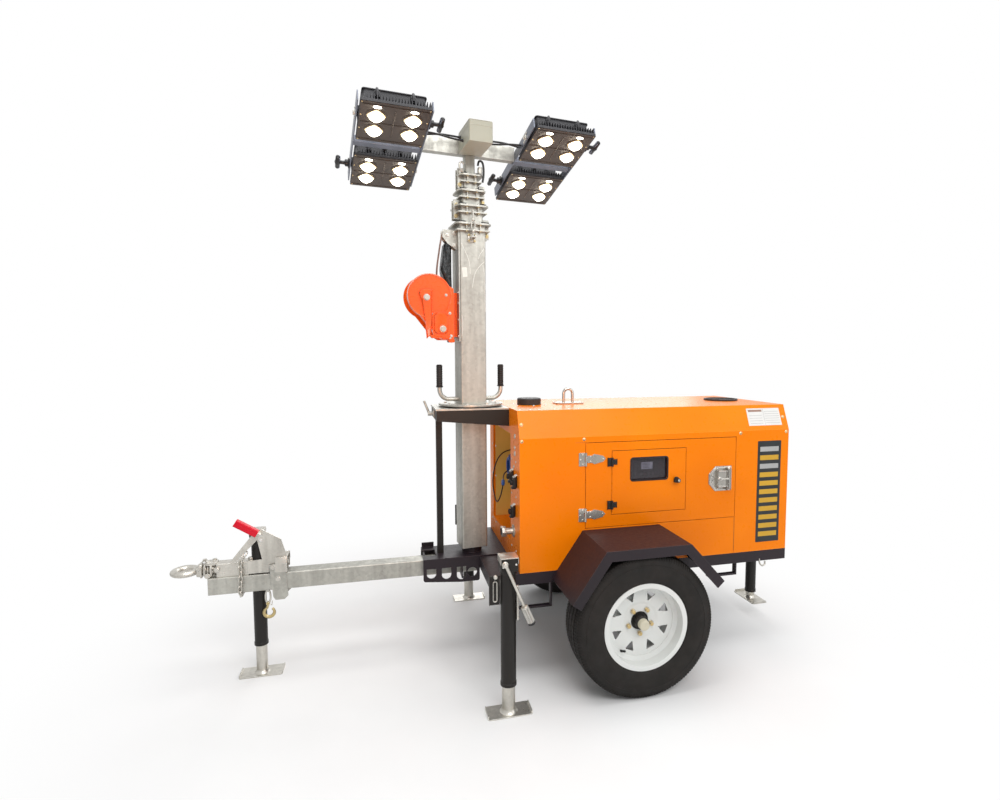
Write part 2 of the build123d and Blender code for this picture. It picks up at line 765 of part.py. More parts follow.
# Telescopic mast: five square sections, each with a collar that guides the next one
sections = (
    # outer size, wall, top z, collar size, sheave side
    (130.0, 4.0, 2134.0, 178.0, -1),
    (110.0, 4.0, 2221.0, 158.0, 1),
    (90.0, 4.0, 2295.0, 138.0, -1),
    (70.0, 4.0, 2371.0, 116.0, 1),
    (50.0, 4.0, head_bar_bottom, 0.0, 0),
)
collar_sheet = 8.0
mast_foot_step = 12.0
mast_sections = []
for index, (size, tube_wall, top, collar, side) in enumerate(sections):
    bottom = mast_bottom + index * mast_foot_step
    with BuildPart() as tube:
        with BuildSketch(mast.offset(bottom)) as tube_section:
            RectangleRounded(size, size, tube_corner)
            RectangleRounded(
                size - 2 * tube_wall,
                size - 2 * tube_wall,
                tube_corner - tube_wall + 1,
                mode=Mode.SUBTRACT,
            )
        extrude(amount=top - bottom)
        if collar:
            bore = sections[index + 1][0] + 2 * slide_gap
            with BuildSketch(mast.offset(top - 30)) as lower_flange:
                Rectangle(collar - 14, collar - 14)
                Rectangle(size - 1, size - 1, mode=Mode.SUBTRACT)
            extrude(amount=6)
            with BuildSketch(mast.offset(top)) as collar_plate:
                Rectangle(collar, collar)
                chamfer(collar_plate.vertices(), 16)
                RectangleRounded(bore, bore, tube_corner + slide_gap, mode=Mode.SUBTRACT)
            extrude(amount=collar_sheet)
            outer_x = side * (collar / 2 + 4)
            inner_x = side * (size / 2 - 0.5)
            with BuildSketch(mast.offset(top - 56)) as sheave_guard:
                with Locations(((outer_x + inner_x) / 2, 0)):
                    Rectangle(abs(outer_x - inner_x), 46)
            extrude(amount=94)
            with BuildSketch(mast.offset(top - 60)) as sheave_slot:
                with Locations((side * (size / 2 + 30), 0)):
                    Rectangle(58, 26)
            extrude(amount=120, mode=Mode.SUBTRACT)
            centre = mast.from_local_coords(Vector(side * (size / 2 + 13), 0, top + 14))
            y_dir = mast.y_dir
            start = centre - y_dir * 23
            end = centre + y_dir * 23
            rod(start, end, 5)
            start = centre - y_dir * 8
            end = centre + y_dir * 8
            rod(start, end, 12)
    mast_sections.append(tube)

with BuildPart() as mast_pivot:
    with BuildSketch(mast.offset(mast_bottom)) as foot_plate:
        RectangleRounded(sections[0][0], sections[0][0], tube_corner)
    extrude(amount=-3.6)
    with Locations(Location((mast_x, 0, housing_top + 3.5))):
        Cylinder(pivot_pin_radius, mast_bottom - housing_top - 5, align=(Align.CENTER, Align.CENTER, Align.MIN))

with BuildPart() as turntable:
    with BuildSketch(mast.offset(stand_top + slide_gap)) as bearing_ring:
        Circle(112)
        Rectangle(sections[0][0], sections[0][0], mode=Mode.SUBTRACT)
    extrude(amount=turntable_top - stand_top - slide_gap)
    with BuildSketch(mast.offset(turntable_top - 8)) as disc:
        Circle(turntable_radius)
        Rectangle(sections[0][0], sections[0][0], mode=Mode.SUBTRACT)
    extrude(amount=8)

handle_reach = 158.0
handle_z = 1290.0
handle_top = 1460.0
handle_radius = 11.0
tube_sides = 12
mast_front = Plane(origin=mast.origin, x_dir=mast.x_dir, z_dir=-mast.y_dir)
mast_side = Plane(origin=mast.origin, x_dir=mast.y_dir, z_dir=mast.x_dir)
with BuildPart() as mast_turntable:
    add(turntable.part)
    for side in (-1, 1):
        root = mast_front.from_local_coords(Vector(side * sections[0][0] / 2, handle_z, 0))
        with BuildLine(mast_front) as handle_path:
            FilletPolyline(
                (side * sections[0][0] / 2, handle_z),
                (side * handle_reach, handle_z),
                (side * handle_reach, handle_top),
                radius=48,
            )
        with BuildSketch(Plane(origin=root, z_dir=mast.x_dir * side)) as handle_section:
            RegularPolygon(handle_radius, tube_sides)
        sweep(path=handle_path.line)

# Winch, standing on a web off the mast's front face
face_x = sections[0][0] / 2
mount_sheet = 6.0
drum_x = 213.0
drum_z = 1789.0
drum_barrel_radius = 34.0
drum_flange_radius = 78.0
drum_flange_sheet = 4.0
gear_x = 164.0
gear_z = 1655.0
gear_cover_width = 82.0
gear_cover_height = 116.0
gear_cover_sheet = 12.0
cover_radius = 104.0
winch_half = 68.0
winch_bottom = 1582.0
winch_top = 1826.0
cheek_x = face_x + 34
cheek_sheet = 6.0
gear_case = 30.0
web_y = -12.0
web_half = 34.0


# The place on the drum cover's edge at an angle from the mast's front
def on_cover(degrees):
    turn = math.radians(degrees)
    return (drum_x + cover_radius * math.cos(turn), drum_z + cover_radius * math.sin(turn))


with BuildPart() as winch_frame:
    for low, thick in ((winch_half - gear_case, gear_case), (-winch_half, cheek_sheet)):
        with BuildSketch(mast_front.offset(-low - thick)) as cheek:
            with Locations((drum_x, drum_z)):
                Circle(cover_radius)
            Polygon(
                (cheek_x, winch_bottom),
                (face_x + 88, winch_bottom),
                (face_x + 122, winch_bottom + 22),
                on_cover(-14),
                (drum_x, drum_z),
                on_cover(152),
                (cheek_x, winch_top),
                align=None,
            )
        extrude(amount=thick)
    with BuildSketch(mast_front.offset(-winch_half - gear_cover_sheet)) as gear_cover:
        with Locations((gear_x, gear_z)):
            RectangleRounded(gear_cover_width, gear_cover_height, 22)
    extrude(amount=gear_cover_sheet)
    winch_height = winch_top - winch_bottom
    with BuildSketch(mast_side.offset(cheek_x)) as back_plate:
        with Locations((0, (winch_bottom + winch_top) / 2)):
            Rectangle(2 * winch_half, winch_height)
    extrude(amount=cheek_sheet)
    with BuildSketch(mast_side.offset(face_x + mount_sheet)) as web:
        with Locations((web_y, (winch_bottom + winch_top) / 2)):
            Rectangle(2 * web_half, winch_height - 30)
    extrude(amount=cheek_x - face_x - mount_sheet)

barrel_low = cheek_sheet - winch_half
barrel_high = winch_half - gear_case
with BuildPart() as winch_drum:
    for radius, low, high in (
        (drum_barrel_radius, barrel_low, barrel_high),
        (drum_flange_radius, barrel_low + 1, barrel_low + 1 + drum_flange_sheet),
        (drum_flange_radius, barrel_high - 1 - drum_flange_sheet, barrel_high - 1),
    ):
        with BuildSketch(mast_front.offset(-high)) as drum_section:
            with Locations((drum_x, drum_z)):
                Circle(radius)
        extrude(amount=high - low)

pulley_x = 115.0
pulley_z = 2086.0
pulley_radius = 20.0
pulley_half = 18.0
mount_bottom = winch_bottom - 8
mount_top = pulley_z + 26
with BuildPart() as strap_pulley:
    with BuildSketch(mast_side.offset(face_x)) as mount_plate:
        with Locations((0, (mount_bottom + mount_top) / 2)):
            Rectangle(sections[0][0] - 4, mount_top - mount_bottom)
    extrude(amount=mount_sheet)
    for low in (-pulley_half - 6, pulley_half):
        with BuildSketch(mast_front.offset(-low - 6)) as ear:
            Polygon(
                (face_x, pulley_z - 70),
                (face_x + 50, pulley_z - 40),
                (pulley_x + 25, pulley_z - 8),
                (pulley_x + 22, mount_top),
                (face_x, mount_top),
                align=None,
            )
        extrude(amount=6)
    with BuildSketch(mast_front.offset(-pulley_half)) as pulley:
        with Locations((pulley_x, pulley_z)):
            Circle(pulley_radius)
    extrude(amount=2 * pulley_half)

bag_bottom = winch_top + 6
bag_low_y = -50.0
bag_high_y = 20.0
bag_x = face_x + 28
with BuildPart() as cable_bag:
    with BuildSketch(mast_front.offset(-bag_high_y)) as bag_side:
        Polygon(
            (bag_x, bag_bottom),
            (bag_x + 44, bag_bottom),
            (bag_x + 60, 1866),
            (bag_x + 62, 1940),
            (bag_x + 54, 2000),
            (bag_x + 34, 2020),
            (bag_x, 2020),
            align=None,
        )
    extrude(amount=bag_high_y - bag_low_y)
    for z in (1900, 1980):
        with BuildSketch(mast_side.offset(face_x + mount_sheet)) as bag_tab:
            with Locations((-20, z)):
                Rectangle(30, 16)
        extrude(amount=bag_x - face_x - mount_sheet)

# Head
with BuildPart() as head_crossbar:
    with BuildSketch(mast.offset(head_bar_bottom)) as bar_outline:
        Rectangle(2 * bar_half, head_bar_depth)
    extrude(amount=head_bar_height)

with BuildPart() as junction_box:
    with BuildSketch(mast.offset(head_bar_bottom)) as box_outline:
        with Locations((0, head_bar_depth / 2 + 100)):
            RectangleRounded(112, 200, 6)
    extrude(amount=93)
    chamfer(junction_box.edges().group_by(Axis.Z)[-1], 2)

# Lamps hang in two tilted frames. Each frame's plane has +Y up the slope and +Z away from the light.
lamp_half = lamp_width / 2
frame_planes = {}
for side_name, side in (("front", 1), ("rear", -1)):
    origin = mast.from_local_coords(Vector(side * lamp_x, 0, lamp_plane_z))
    upward = mast.z_dir * math.cos(math.radians(lamp_tilt)) - mast.y_dir * math.sin(math.radians(lamp_tilt))
    frame_planes[side_name] = Plane(origin=origin, x_dir=mast.x_dir, z_dir=upward)

with BuildPart() as lamp_ladders:
    for plane in frame_planes.values():
        with BuildSketch(plane.offset(pivot_height - frame_bar_height / 2)) as bars:
            with Locations((-bar_x - frame_bar / 2, 0), (bar_x + frame_bar / 2, 0)):
                Rectangle(frame_bar, 2 * lamp_y + 230)
        extrude(amount=frame_bar_height)
        with BuildSketch(plane.offset(pivot_height - 16)) as tie:
            Rectangle(2 * bar_x, 32)
        extrude(amount=32)

lamp_places = (
    # name, frame, side of the crossbar, side of the handle
    ("front_near", "front", 1, -1),
    ("front_far", "front", -1, 1),
    ("rear_near", "rear", 1, -1),
    ("rear_far", "rear", -1, 1),
)
lamps = {}
for name, frame_name, place, handle_side in lamp_places:
    plane = frame_planes[frame_name]
    with BuildPart() as lamp:
        with BuildSketch(plane) as face_plate:
            with Locations((0, place * lamp_y)):
                RectangleRounded(lamp_width, lamp_depth, 5)
        extrude(amount=lamp_plate)
        with BuildSketch(plane.offset(lamp_plate)) as fins:
            with Locations((0, place * lamp_y)):
                with GridLocations((lamp_width - 12) / (fin_count - 1), 1, fin_count, 1):
                    Rectangle(3, lamp_depth - 14)
        extrude(amount=fin_height)
        with BuildSketch(plane.offset(lamp_plate + fin_height)) as driver_box:
            with Locations((0, place * lamp_y)):
                RectangleRounded(lamp_width - 34, lamp_depth - 84, 10)
        extrude(amount=box_height)
        with BuildSketch(plane.offset(lamp_plate + fin_height + box_height)) as lid:
            with Locations((0, place * lamp_y)):
                RectangleRounded(lamp_width - 24, lamp_depth - 74, 12)
        extrude(amount=4)
        for side in (-1, 1):
            start = plane.from_local_coords(Vector(side * (lamp_half - 3), place * lamp_y, pivot_height))
            end = plane.from_local_coords(Vector(side * (bar_x - slide_gap), place * lamp_y, pivot_height))
            rod(start, end, pivot_radius)
            with BuildSketch(plane.offset(lamp_plate - 2)) as ears:
                with Locations((side * (lamp_half - 3), place * lamp_y)):
                    Rectangle(6, 60)
            extrude(amount=pivot_height + 6)
        with BuildSketch(plane) as lens_ring:
            with Locations((0, place * lamp_y)):
                with GridLocations(led_across, led_along, 2, 2):
                    Circle(led_radius)
        extrude(amount=-3)
    lamps[name] = lamp

with BuildPart() as lamp_frames:
    add(lamp_ladders.part)
    for name, frame_name, place, side in lamp_places:
        plane = frame_planes[frame_name]
        outer = bar_x + frame_bar
        at = [Vector(side * (outer + reach), place * lamp_y, pivot_height) for reach in (0, 18, 52, 66)]
        spots = [plane.from_local_coords(v) for v in at]
        rod(spots[0], spots[1], 15)
        rod(spots[1], spots[2], 7)
        low = plane.from_local_coords(at[2] + Vector(0, -42, 0))
        high = plane.from_local_coords(at[2] + Vector(0, 42, 0))
        rod(low, high, 10)

# Roof fittings
with BuildPart() as roof_fittings:
    with BuildSketch(Plane.XY.offset(roof_z)) as outlet:
        with Locations((axle_x - 758, 0)):
            Circle(92)
            Circle(78, mode=Mode.SUBTRACT)
    extrude(amount=10)
    for step in (-2, -1, 0, 1, 2):
        with BuildSketch(Plane.XY.offset(roof_z + 2)) as slat:
            with Locations((axle_x - 758, step * 28)):
                Rectangle(168 - 18 * abs(step), 8)
        extrude(amount=5)
    with BuildSketch(Plane.XY.offset(roof_z)) as cap:
        with Locations((axle_x + 361, 0)):
            Circle(62)
    extrude(amount=34)
    chamfer(roof_fittings.edges().group_by(Axis.Z)[-1], 5)

eye_span = 24.0
eye_rod = 8.0
eye_foot = roof_z + 8
with BuildPart() as lifting_eye:
    with BuildSketch(Plane.XY.offset(roof_z)) as eye_plate:
        with Locations((axle_x + 149, 0)):
            RectangleRounded(150, 90, 12)
    extrude(amount=8)
    with BuildLine(Plane.XZ) as eye_path:
        x = axle_x + 149
        Line((x - eye_span, eye_foot), (x - eye_span, eye_foot + 46))
        ThreePointArc((x - eye_span, eye_foot + 46), (x, eye_foot + 46 + eye_span), (x + eye_span, eye_foot + 46))
        Line((x + eye_span, eye_foot + 46), (x + eye_span, eye_foot))
    with BuildSketch(Plane.XY.offset(eye_foot)) as eye_section:
        with Locations((x - eye_span, 0)):
            RegularPolygon(eye_rod, tube_sides)
    sweep(path=eye_path.line)

# Sockets and stubs on the canopy's front
with BuildPart() as power_sockets:
    for y, z, radius, reach in ((-150, 905, 42, 62), (40, 905, 36, 55)):
        back = canopy_front - bay_depth
        rod((back, y, z), (back + reach, y, z), radius)
        rod((back + reach - 8, y, z), (back + reach, y, z), radius + 8)
    for y, z in ((238, 936), (312, 922), (275, 776)):
        block((canopy_front, y - 15, z - 26), (canopy_front + 22, y + 15, z + 26))
    rod((canopy_front, 250, 670), (canopy_front + 58, 250, 670), 15)
    rod((canopy_front + 40, 250, 670), (canopy_front + 62, 250, 670), 24)

# Cords. Each route is a list of points joined by straight runs and rounded corners.
def cord(points, diameter):
    runs = [Vector(b) - Vector(a) for a, b in zip(points, points[1:])]
    radii = []
    for before, after in zip(runs, runs[1:]):
        half_turn = math.radians(before.get_angle(after) / 2)
        radii.append(0.45 * min(before.length, after.length) / math.tan(half_turn))
    print("cord radii", [round(r) for r in radii], "runs", [round(run.length) for run in runs])
    with BuildPart() as piece:
        with BuildLine() as route:
            FilletPolyline(*points, radius=radii)
        with BuildSketch(Plane(origin=points[0], z_dir=runs[0])):
            Circle(diameter / 2)
        sweep(path=route.line)
    return piece


lamp_cable = 9.0
cable_routes = {
    # mast x towards a lamp frame, mast y, z
    "far": ((56.0, 64.0, 2538.0), (112.0, 64.0, 2541.0), (172.0, 80.0, 2534.0), (227.6, 86.0, 2522.0)),
    "near": ((56.0, 112.0, 2508.0), (112.0, 112.0, 2510.0), (172.0, 117.0, 2520.0), (227.6, 119.0, 2521.0)),
}
lamp_cables = {}
for side_name, side in (("front", 1), ("rear", -1)):
    for place, route in cable_routes.items():
        points = [tuple(mast.from_local_coords(Vector(side * x, y, z))) for x, y, z in route]
        lamp_cables[f"lamp_cable_{side_name}_{place}"] = cord(points, lamp_cable)

lead_diameter = 6.5
lead_route = (
    # x from the axle, y, z
    (378.0, -205.0, 990.0),
    (440.0, -203.0, 986.0),
    (492.0, -180.0, 950.0),
    (522.0, -140.0, 892.0),
    (540.0, -80.0, 836.0),
    (545.0, -10.0, 790.0),
    (545.0, 60.0, 760.0),
    (535.0, 100.0, 794.0),
    (515.0, 76.0, 850.0),
    (500.0, 6.0, 872.0),
    (484.0, -62.0, 876.0),
    (462.0, -118.0, 880.0),
    (442.6, -150.0, 880.0),
)
lead_loop = cord([(axle_x + x, y, z) for x, y, z in lead_route], lead_diameter)

# Pieces welded together
with BuildPart() as floor_frame:
    add(frame_rails.part)
    add(base_floor.part)

with BuildPart() as jack_mounts:
    add(jack_brackets.part)
    add(jack_tubes.part)

with BuildPart() as drawbar:
    add(drawbar_tube.part)
    add(drawbar_clamp.part)

with BuildPart() as mast_section_1:
    add(mast_sections[0].part)
    add(mast_pivot.part)
    add(strap_pulley.part)

pieces = {
    "tyre_left": tyre_left,
    "tyre_right": twin(tyre_left),
    "wheel_left": wheel_left,
    "wheel_right": twin(wheel_left),
    "running_gear": running_gear,
    "floor_frame": floor_frame,
    "under_frame": under_frame,
    "drawbar_housing": drawbar_housing,
    "canopy_roof": canopy_roof,
    "canopy_left": canopy_left,
    "canopy_right": twin(canopy_left),
    "canopy_front": canopy_front_wall,
    "canopy_rear": canopy_rear_wall,
    "engine_block": engine_block,
    "service_door_left": service_door_left,
    "service_door_right": service_door_right,
    "door_hardware_left": door_hardware_left,
    "door_hardware_right": twin(door_hardware),
    "hinge_leaves": hinge_leaves,
    "control_panel": control_panel,
    "control_door": control_door,
    "control_window": control_window,
    "fenders": fenders,
    "drawbar": drawbar,
    "overrun_coupling": overrun_coupling,
    "tow_eye": tow_eye,
    "handbrake": handbrake,
    "jack_mounts": jack_mounts,
    "corner_jack_left": corner_jack_left,
    "corner_jack_right": twin(corner_jack_left),
    "corner_leg_left": jack_legs["corner_left"],
    "corner_leg_right": twin(jack_legs["corner_left"]),
    "tongue_leg": jack_legs["tongue"],
    "rear_leg": jack_legs["rear"],
    "mast_stand": mast_stand,
    "stand_plate": stand_plate,
    "lifting_eye": lifting_eye,
    "roof_fittings": roof_fittings,
    "power_sockets": power_sockets,
    "mast_section_1": mast_section_1,
    "mast_section_2": mast_sections[1],
    "mast_section_3": mast_sections[2],
    "mast_section_4": mast_sections[3],
    "mast_section_5": mast_sections[4],
    "mast_turntable": mast_turntable,
    "winch_frame": winch_frame,
    "winch_drum": winch_drum,
    "cable_bag": cable_bag,
    "head_crossbar": head_crossbar,
    "junction_box": junction_box,
    "lamp_frames": lamp_frames,
    "lamp_front_near": lamps["front_near"],
    "lamp_front_far": lamps["front_far"],
    "lamp_rear_near": lamps["rear_near"],
    "lamp_rear_far": lamps["rear_far"],
    **lamp_cables,
    "lead_loop": lead_loop,
}
for name, piece in pieces.items():
    save(piece, name)
print("pieces", len(pieces))
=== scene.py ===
import bpy
import bmesh
import random
from math import copysign, cos, hypot, pi, radians, sin
from mathutils import Matrix, Vector


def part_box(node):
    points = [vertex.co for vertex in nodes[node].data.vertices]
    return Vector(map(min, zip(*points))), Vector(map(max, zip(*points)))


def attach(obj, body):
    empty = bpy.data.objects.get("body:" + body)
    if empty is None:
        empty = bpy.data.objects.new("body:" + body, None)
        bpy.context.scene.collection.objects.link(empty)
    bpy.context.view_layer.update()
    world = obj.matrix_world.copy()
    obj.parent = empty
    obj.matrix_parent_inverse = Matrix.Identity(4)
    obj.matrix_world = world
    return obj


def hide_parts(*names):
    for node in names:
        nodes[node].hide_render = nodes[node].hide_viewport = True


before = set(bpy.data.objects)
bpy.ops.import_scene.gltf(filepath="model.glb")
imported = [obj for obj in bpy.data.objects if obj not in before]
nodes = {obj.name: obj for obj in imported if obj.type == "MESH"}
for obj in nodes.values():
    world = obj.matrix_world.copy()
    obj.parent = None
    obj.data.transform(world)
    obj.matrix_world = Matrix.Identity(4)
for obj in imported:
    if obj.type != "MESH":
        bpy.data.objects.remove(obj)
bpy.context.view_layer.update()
print("frame loaded:", len(nodes), "nodes")


def moveBy(x, y, z):
    return Matrix.Translation((x, y, z))


def turnBy(degrees, axis):
    return Matrix.Rotation(radians(degrees), 4, axis)


# Places that several pieces share, in metres, taken from the frame
wheelLow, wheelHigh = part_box("wheel_left")
axleX = (wheelLow.x + wheelHigh.x) / 2
axleZ = (wheelLow.z + wheelHigh.z) / 2
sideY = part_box("canopy_left")[1].y
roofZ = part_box("canopy_roof")[1].z
mast = moveBy(axleX + 0.664, 0, 0) @ turnBy(7, "Z")


# Shader node groups that several materials share

def newGroup(name, inputs, outputs):
    group = bpy.data.node_groups.new(name, "ShaderNodeTree")
    for label, kind, value in inputs:
        socket = group.interface.new_socket(label, in_out="INPUT", socket_type=kind)
        socket.default_value = value
    for label, kind in outputs:
        group.interface.new_socket(label, in_out="OUTPUT", socket_type=kind)
    return group, group.nodes.new("NodeGroupInput"), group.nodes.new("NodeGroupOutput")


def put(tree, kind, settings=None, **sockets):
    # adds a node, its settings, and a value or a link for each named socket
    node = tree.nodes.new(kind)
    for key, value in (settings or {}).items():
        setattr(node, key, value)
    for key, value in sockets.items():
        label = key.replace("_", " ")
        socket = node.inputs[int(label[2:])] if label.startswith("n ") else node.inputs[label]
        if isinstance(value, bpy.types.NodeSocket):
            tree.links.new(value, socket)
        else:
            socket.default_value = value
    return node


def feed(tree, node, **sources):
    for key, source in sources.items():
        tree.links.new(source, node.inputs[key.replace("_", " ")])


def maths(tree, operation, first, second, clamp=False):
    settings = {"operation": operation, "use_clamp": clamp}
    return put(tree, "ShaderNodeMath", settings, n_0=first, n_1=second).outputs[0]


def makeCloudGroup():
    group, inside, outside = newGroup(
        "cloudiness",
        [
            ("Scale", "NodeSocketFloat", 5.0),
            ("Stretch", "NodeSocketVector", (1, 1, 1)),
            ("Low", "NodeSocketFloat", 0.0),
            ("High", "NodeSocketFloat", 1.0),
        ],
        [("Value", "NodeSocketFloat")],
    )
    place = put(group, "ShaderNodeTexCoord")
    bend = put(group, "ShaderNodeMapping", Vector=place.outputs["Object"], Scale=inside.outputs["Stretch"])
    noise = put(
        group, "ShaderNodeTexNoise", Vector=bend.outputs[0], Scale=inside.outputs["Scale"], Detail=5.0)
    spread = put(group, "ShaderNodeMapRange", Value=noise.outputs["Fac"], n_1=0.32, n_2=0.68)
    feed(group, spread, To_Min=inside.outputs["Low"], To_Max=inside.outputs["High"])
    group.links.new(spread.outputs["Result"], outside.inputs["Value"])
    return group


def makeEdgeGroup():
    group, inside, outside = newGroup(
        "roundedEdges",
        [("Radius", "NodeSocketFloat", 0.002), ("Gain", "NodeSocketFloat", 6.0)],
        [("Normal", "NodeSocketVector"), ("Edge", "NodeSocketFloat")],
    )
    soft = put(group, "ShaderNodeBevel", {"samples": 4}, Radius=inside.outputs["Radius"])
    flat = put(group, "ShaderNodeNewGeometry").outputs["Normal"]
    dot = put(group, "ShaderNodeVectorMath", {"operation": "DOT_PRODUCT"}, n_0=soft.outputs[0], n_1=flat)
    gap = maths(group, "SUBTRACT", 1.0, dot.outputs["Value"])
    gain = maths(group, "MULTIPLY", gap, inside.outputs["Gain"], True)
    feed(group, outside, Normal=soft.outputs[0], Edge=gain)
    return group


def makeSpangleGroup():
    group, inside, outside = newGroup(
        "zincSpangle",
        [("Scale", "NodeSocketFloat", 70.0), ("Amount", "NodeSocketFloat", 0.2)],
        [("Shade", "NodeSocketFloat"), ("Height", "NodeSocketFloat")],
    )
    place = put(group, "ShaderNodeTexCoord")
    warp = put(group, "ShaderNodeTexNoise", Vector=place.outputs["Object"], Scale=30.0, Detail=2.0)
    mixed = put(group, "ShaderNodeVectorMath", {"operation": "MULTIPLY_ADD"}, n_0=warp.outputs["Color"])
    mixed.inputs[1].default_value = (0.02, 0.02, 0.02)
    group.links.new(place.outputs["Object"], mixed.inputs[2])
    cells = put(group, "ShaderNodeTexVoronoi", Vector=mixed.outputs[0], Scale=inside.outputs["Scale"])
    grey = put(group, "ShaderNodeRGBToBW", Color=cells.outputs["Color"])
    centred = maths(group, "SUBTRACT", grey.outputs[0], 0.5)
    shade = maths(group, "MULTIPLY", centred, inside.outputs["Amount"])
    feed(group, outside, Shade=shade, Height=cells.outputs["Distance"])
    return group


groups = {"cloud": makeCloudGroup(), "edge": makeEdgeGroup(), "spangle": makeSpangleGroup()}


def useGroup(tree, name, **sockets):
    node = put(tree, "ShaderNodeGroup", {"node_tree": groups[name]})
    for key, value in sockets.items():
        socket = node.inputs[key]
        if isinstance(value, bpy.types.NodeSocket):
            tree.links.new(value, socket)
        else:
            socket.default_value = value
    return node


def cloudValue(tree, **sockets):
    return useGroup(tree, "cloud", **sockets).outputs["Value"]


# Materials

materials = {}


def startMaterial(name):
    material = bpy.data.materials.new(name)
    material.use_nodes = True
    tree = material.node_tree
    materials[name] = material
    return tree, tree.nodes["Principled BSDF"]


def tint(colour, factor=1.0):
    return tuple(min(1.0, c * factor) for c in colour[:3]) + (1.0,)


def hold(shader, **values):
    # plain values on the shader's own sockets
    for key, value in values.items():
        shader.inputs[key.replace("_", " ")].default_value = value


def blendColour(tree, factor, low, high):
    mix = put(tree, "ShaderNodeMix", {"data_type": "RGBA"}, n_0=factor)
    for index, value in ((6, low), (7, high)):
        if isinstance(value, bpy.types.NodeSocket):
            tree.links.new(value, mix.inputs[index])
        else:
            mix.inputs[index].default_value = value
    return mix.outputs[2]


def makePaint(name, colour, shade, edge, rough, coat, peel, gloss=0.3, edgeRadius=0.0015, cloudScale=2.2):
    # sprayed or dipped paint: slow colour drift, orange peel, and a lighter line along the edges that is
    # partly wear and partly painted highlight
    tree, shader = startMaterial(name)
    cloud = cloudValue(tree, Scale=cloudScale)
    fine = cloudValue(tree, Scale=60.0, Low=rough - 0.04, High=rough + 0.05)
    rim = useGroup(tree, "edge", Radius=edgeRadius)
    place = put(tree, "ShaderNodeTexCoord")
    skin = put(tree, "ShaderNodeTexNoise", Vector=place.outputs["Object"], Scale=420.0, Detail=1.0)
    body = blendColour(tree, cloud, tint(colour), tint(shade))
    # lighter colour along the edges: wear and painted highlight
    lighterEdges = blendColour(tree, rim.outputs["Edge"], body, tint(edge))
    bump = put(tree, "ShaderNodeBump", Strength=peel, Distance=0.0004, Height=skin.outputs["Fac"])
    feed(tree, bump, Normal=rim.outputs["Normal"])
    feed(tree, shader, Base_Color=lighterEdges, Roughness=fine, Normal=bump.outputs[0])
    hold(shader, Coat_Weight=coat, Coat_Roughness=0.08, Specular_IOR_Level=gloss)


paints = [
    # name, colour, shade, edge, roughness, coat, orange peel, gloss
    ("canopyPaint", (0.9, 0.225, 0.0), (0.82, 0.19, 0.0), (0.97, 0.44, 0.05), 0.3, 0.0, 0.18, 0.16),
    ("bayPaint", (0.86, 0.64, 0.2), (0.76, 0.55, 0.15), (0.92, 0.75, 0.35), 0.42, 0.0, 0.18),
    ("framePaint", (0.021, 0.014, 0.019), (0.014, 0.01, 0.013), (0.14, 0.12, 0.13), 0.46, 0.0, 0.25),
    ("jackPaint", (0.01, 0.009, 0.008), (0.014, 0.012, 0.01), (0.09, 0.08, 0.075), 0.42, 0.0, 0.3),
    ("wheelPaint", (0.74, 0.75, 0.73), (0.68, 0.7, 0.68), (0.88, 0.88, 0.87), 0.32, 0.3, 0.15),
    ("winchPaint", (0.93, 0.115, 0.006), (0.88, 0.095, 0.004), (1.0, 0.3, 0.1), 0.28, 0.6, 0.12),
    ("boxPaint", (0.4, 0.4, 0.32), (0.35, 0.35, 0.28), (0.58, 0.57, 0.48), 0.42, 0.1, 0.3),
    ("enginePaint", (0.1, 0.1, 0.11), (0.08, 0.08, 0.09), (0.2, 0.2, 0.2), 0.55, 0.0, 0.5),
    ("roofPaint", (0.035, 0.033, 0.033), (0.025, 0.024, 0.025), (0.12, 0.12, 0.12), 0.5, 0.0, 0.4),
    ("handlePaint", (0.01, 0.01, 0.011), (0.016, 0.016, 0.017), (0.07, 0.07, 0.07), 0.34, 0.2, 0.2),
    ("gripRed", (0.66, 0.002, 0.02), (0.6, 0.002, 0.018), (0.8, 0.03, 0.06), 0.35, 0.0, 0.2),
]
for entry in paints:
    makePaint(*entry)


def makeZinc(
    name, colour, rough, spangle, scale, streak, edge=(0.78, 0.78, 0.76), metallic=0.85, edgeRadius=0.0015
):
    # galvanised steel: grains, soft vertical streaks that are partly dull patches and partly painted
    # highlight, and brighter rubbed edges
    tree, shader = startMaterial(name)
    grain = useGroup(tree, "spangle", Scale=scale, Amount=spangle)
    # vertical streaks in colour and roughness: dull patches and painted highlight
    streaksAndSheen = cloudValue(tree, Scale=7.0, Stretch=(5.0, 5.0, 0.5), Low=-streak, High=streak)
    broad = cloudValue(tree, Scale=2.6, Low=-streak, High=streak)
    rim = useGroup(tree, "edge", Radius=edgeRadius)
    total = maths(tree, "ADD", grain.outputs["Shade"], streaksAndSheen)
    both = maths(tree, "ADD", total, broad)
    lifted = maths(tree, "ADD", both, 0.5, True)
    body = blendColour(tree, lifted, tint(colour, 0.72), tint(colour, 1.25))
    lighterEdges = blendColour(tree, rim.outputs["Edge"], body, edge + (1.0,))
    gloss = put(tree, "ShaderNodeMapRange", Value=lifted, n_3=rough + 0.12, n_4=rough - 0.1)
    bump = put(tree, "ShaderNodeBump", Strength=0.25, Distance=0.0006, Height=streaksAndSheen)
    feed(tree, bump, Normal=rim.outputs["Normal"])
    feed(tree, shader, Base_Color=lighterEdges, Roughness=gloss.outputs[0], Normal=bump.outputs[0])
    hold(shader, Metallic=metallic)


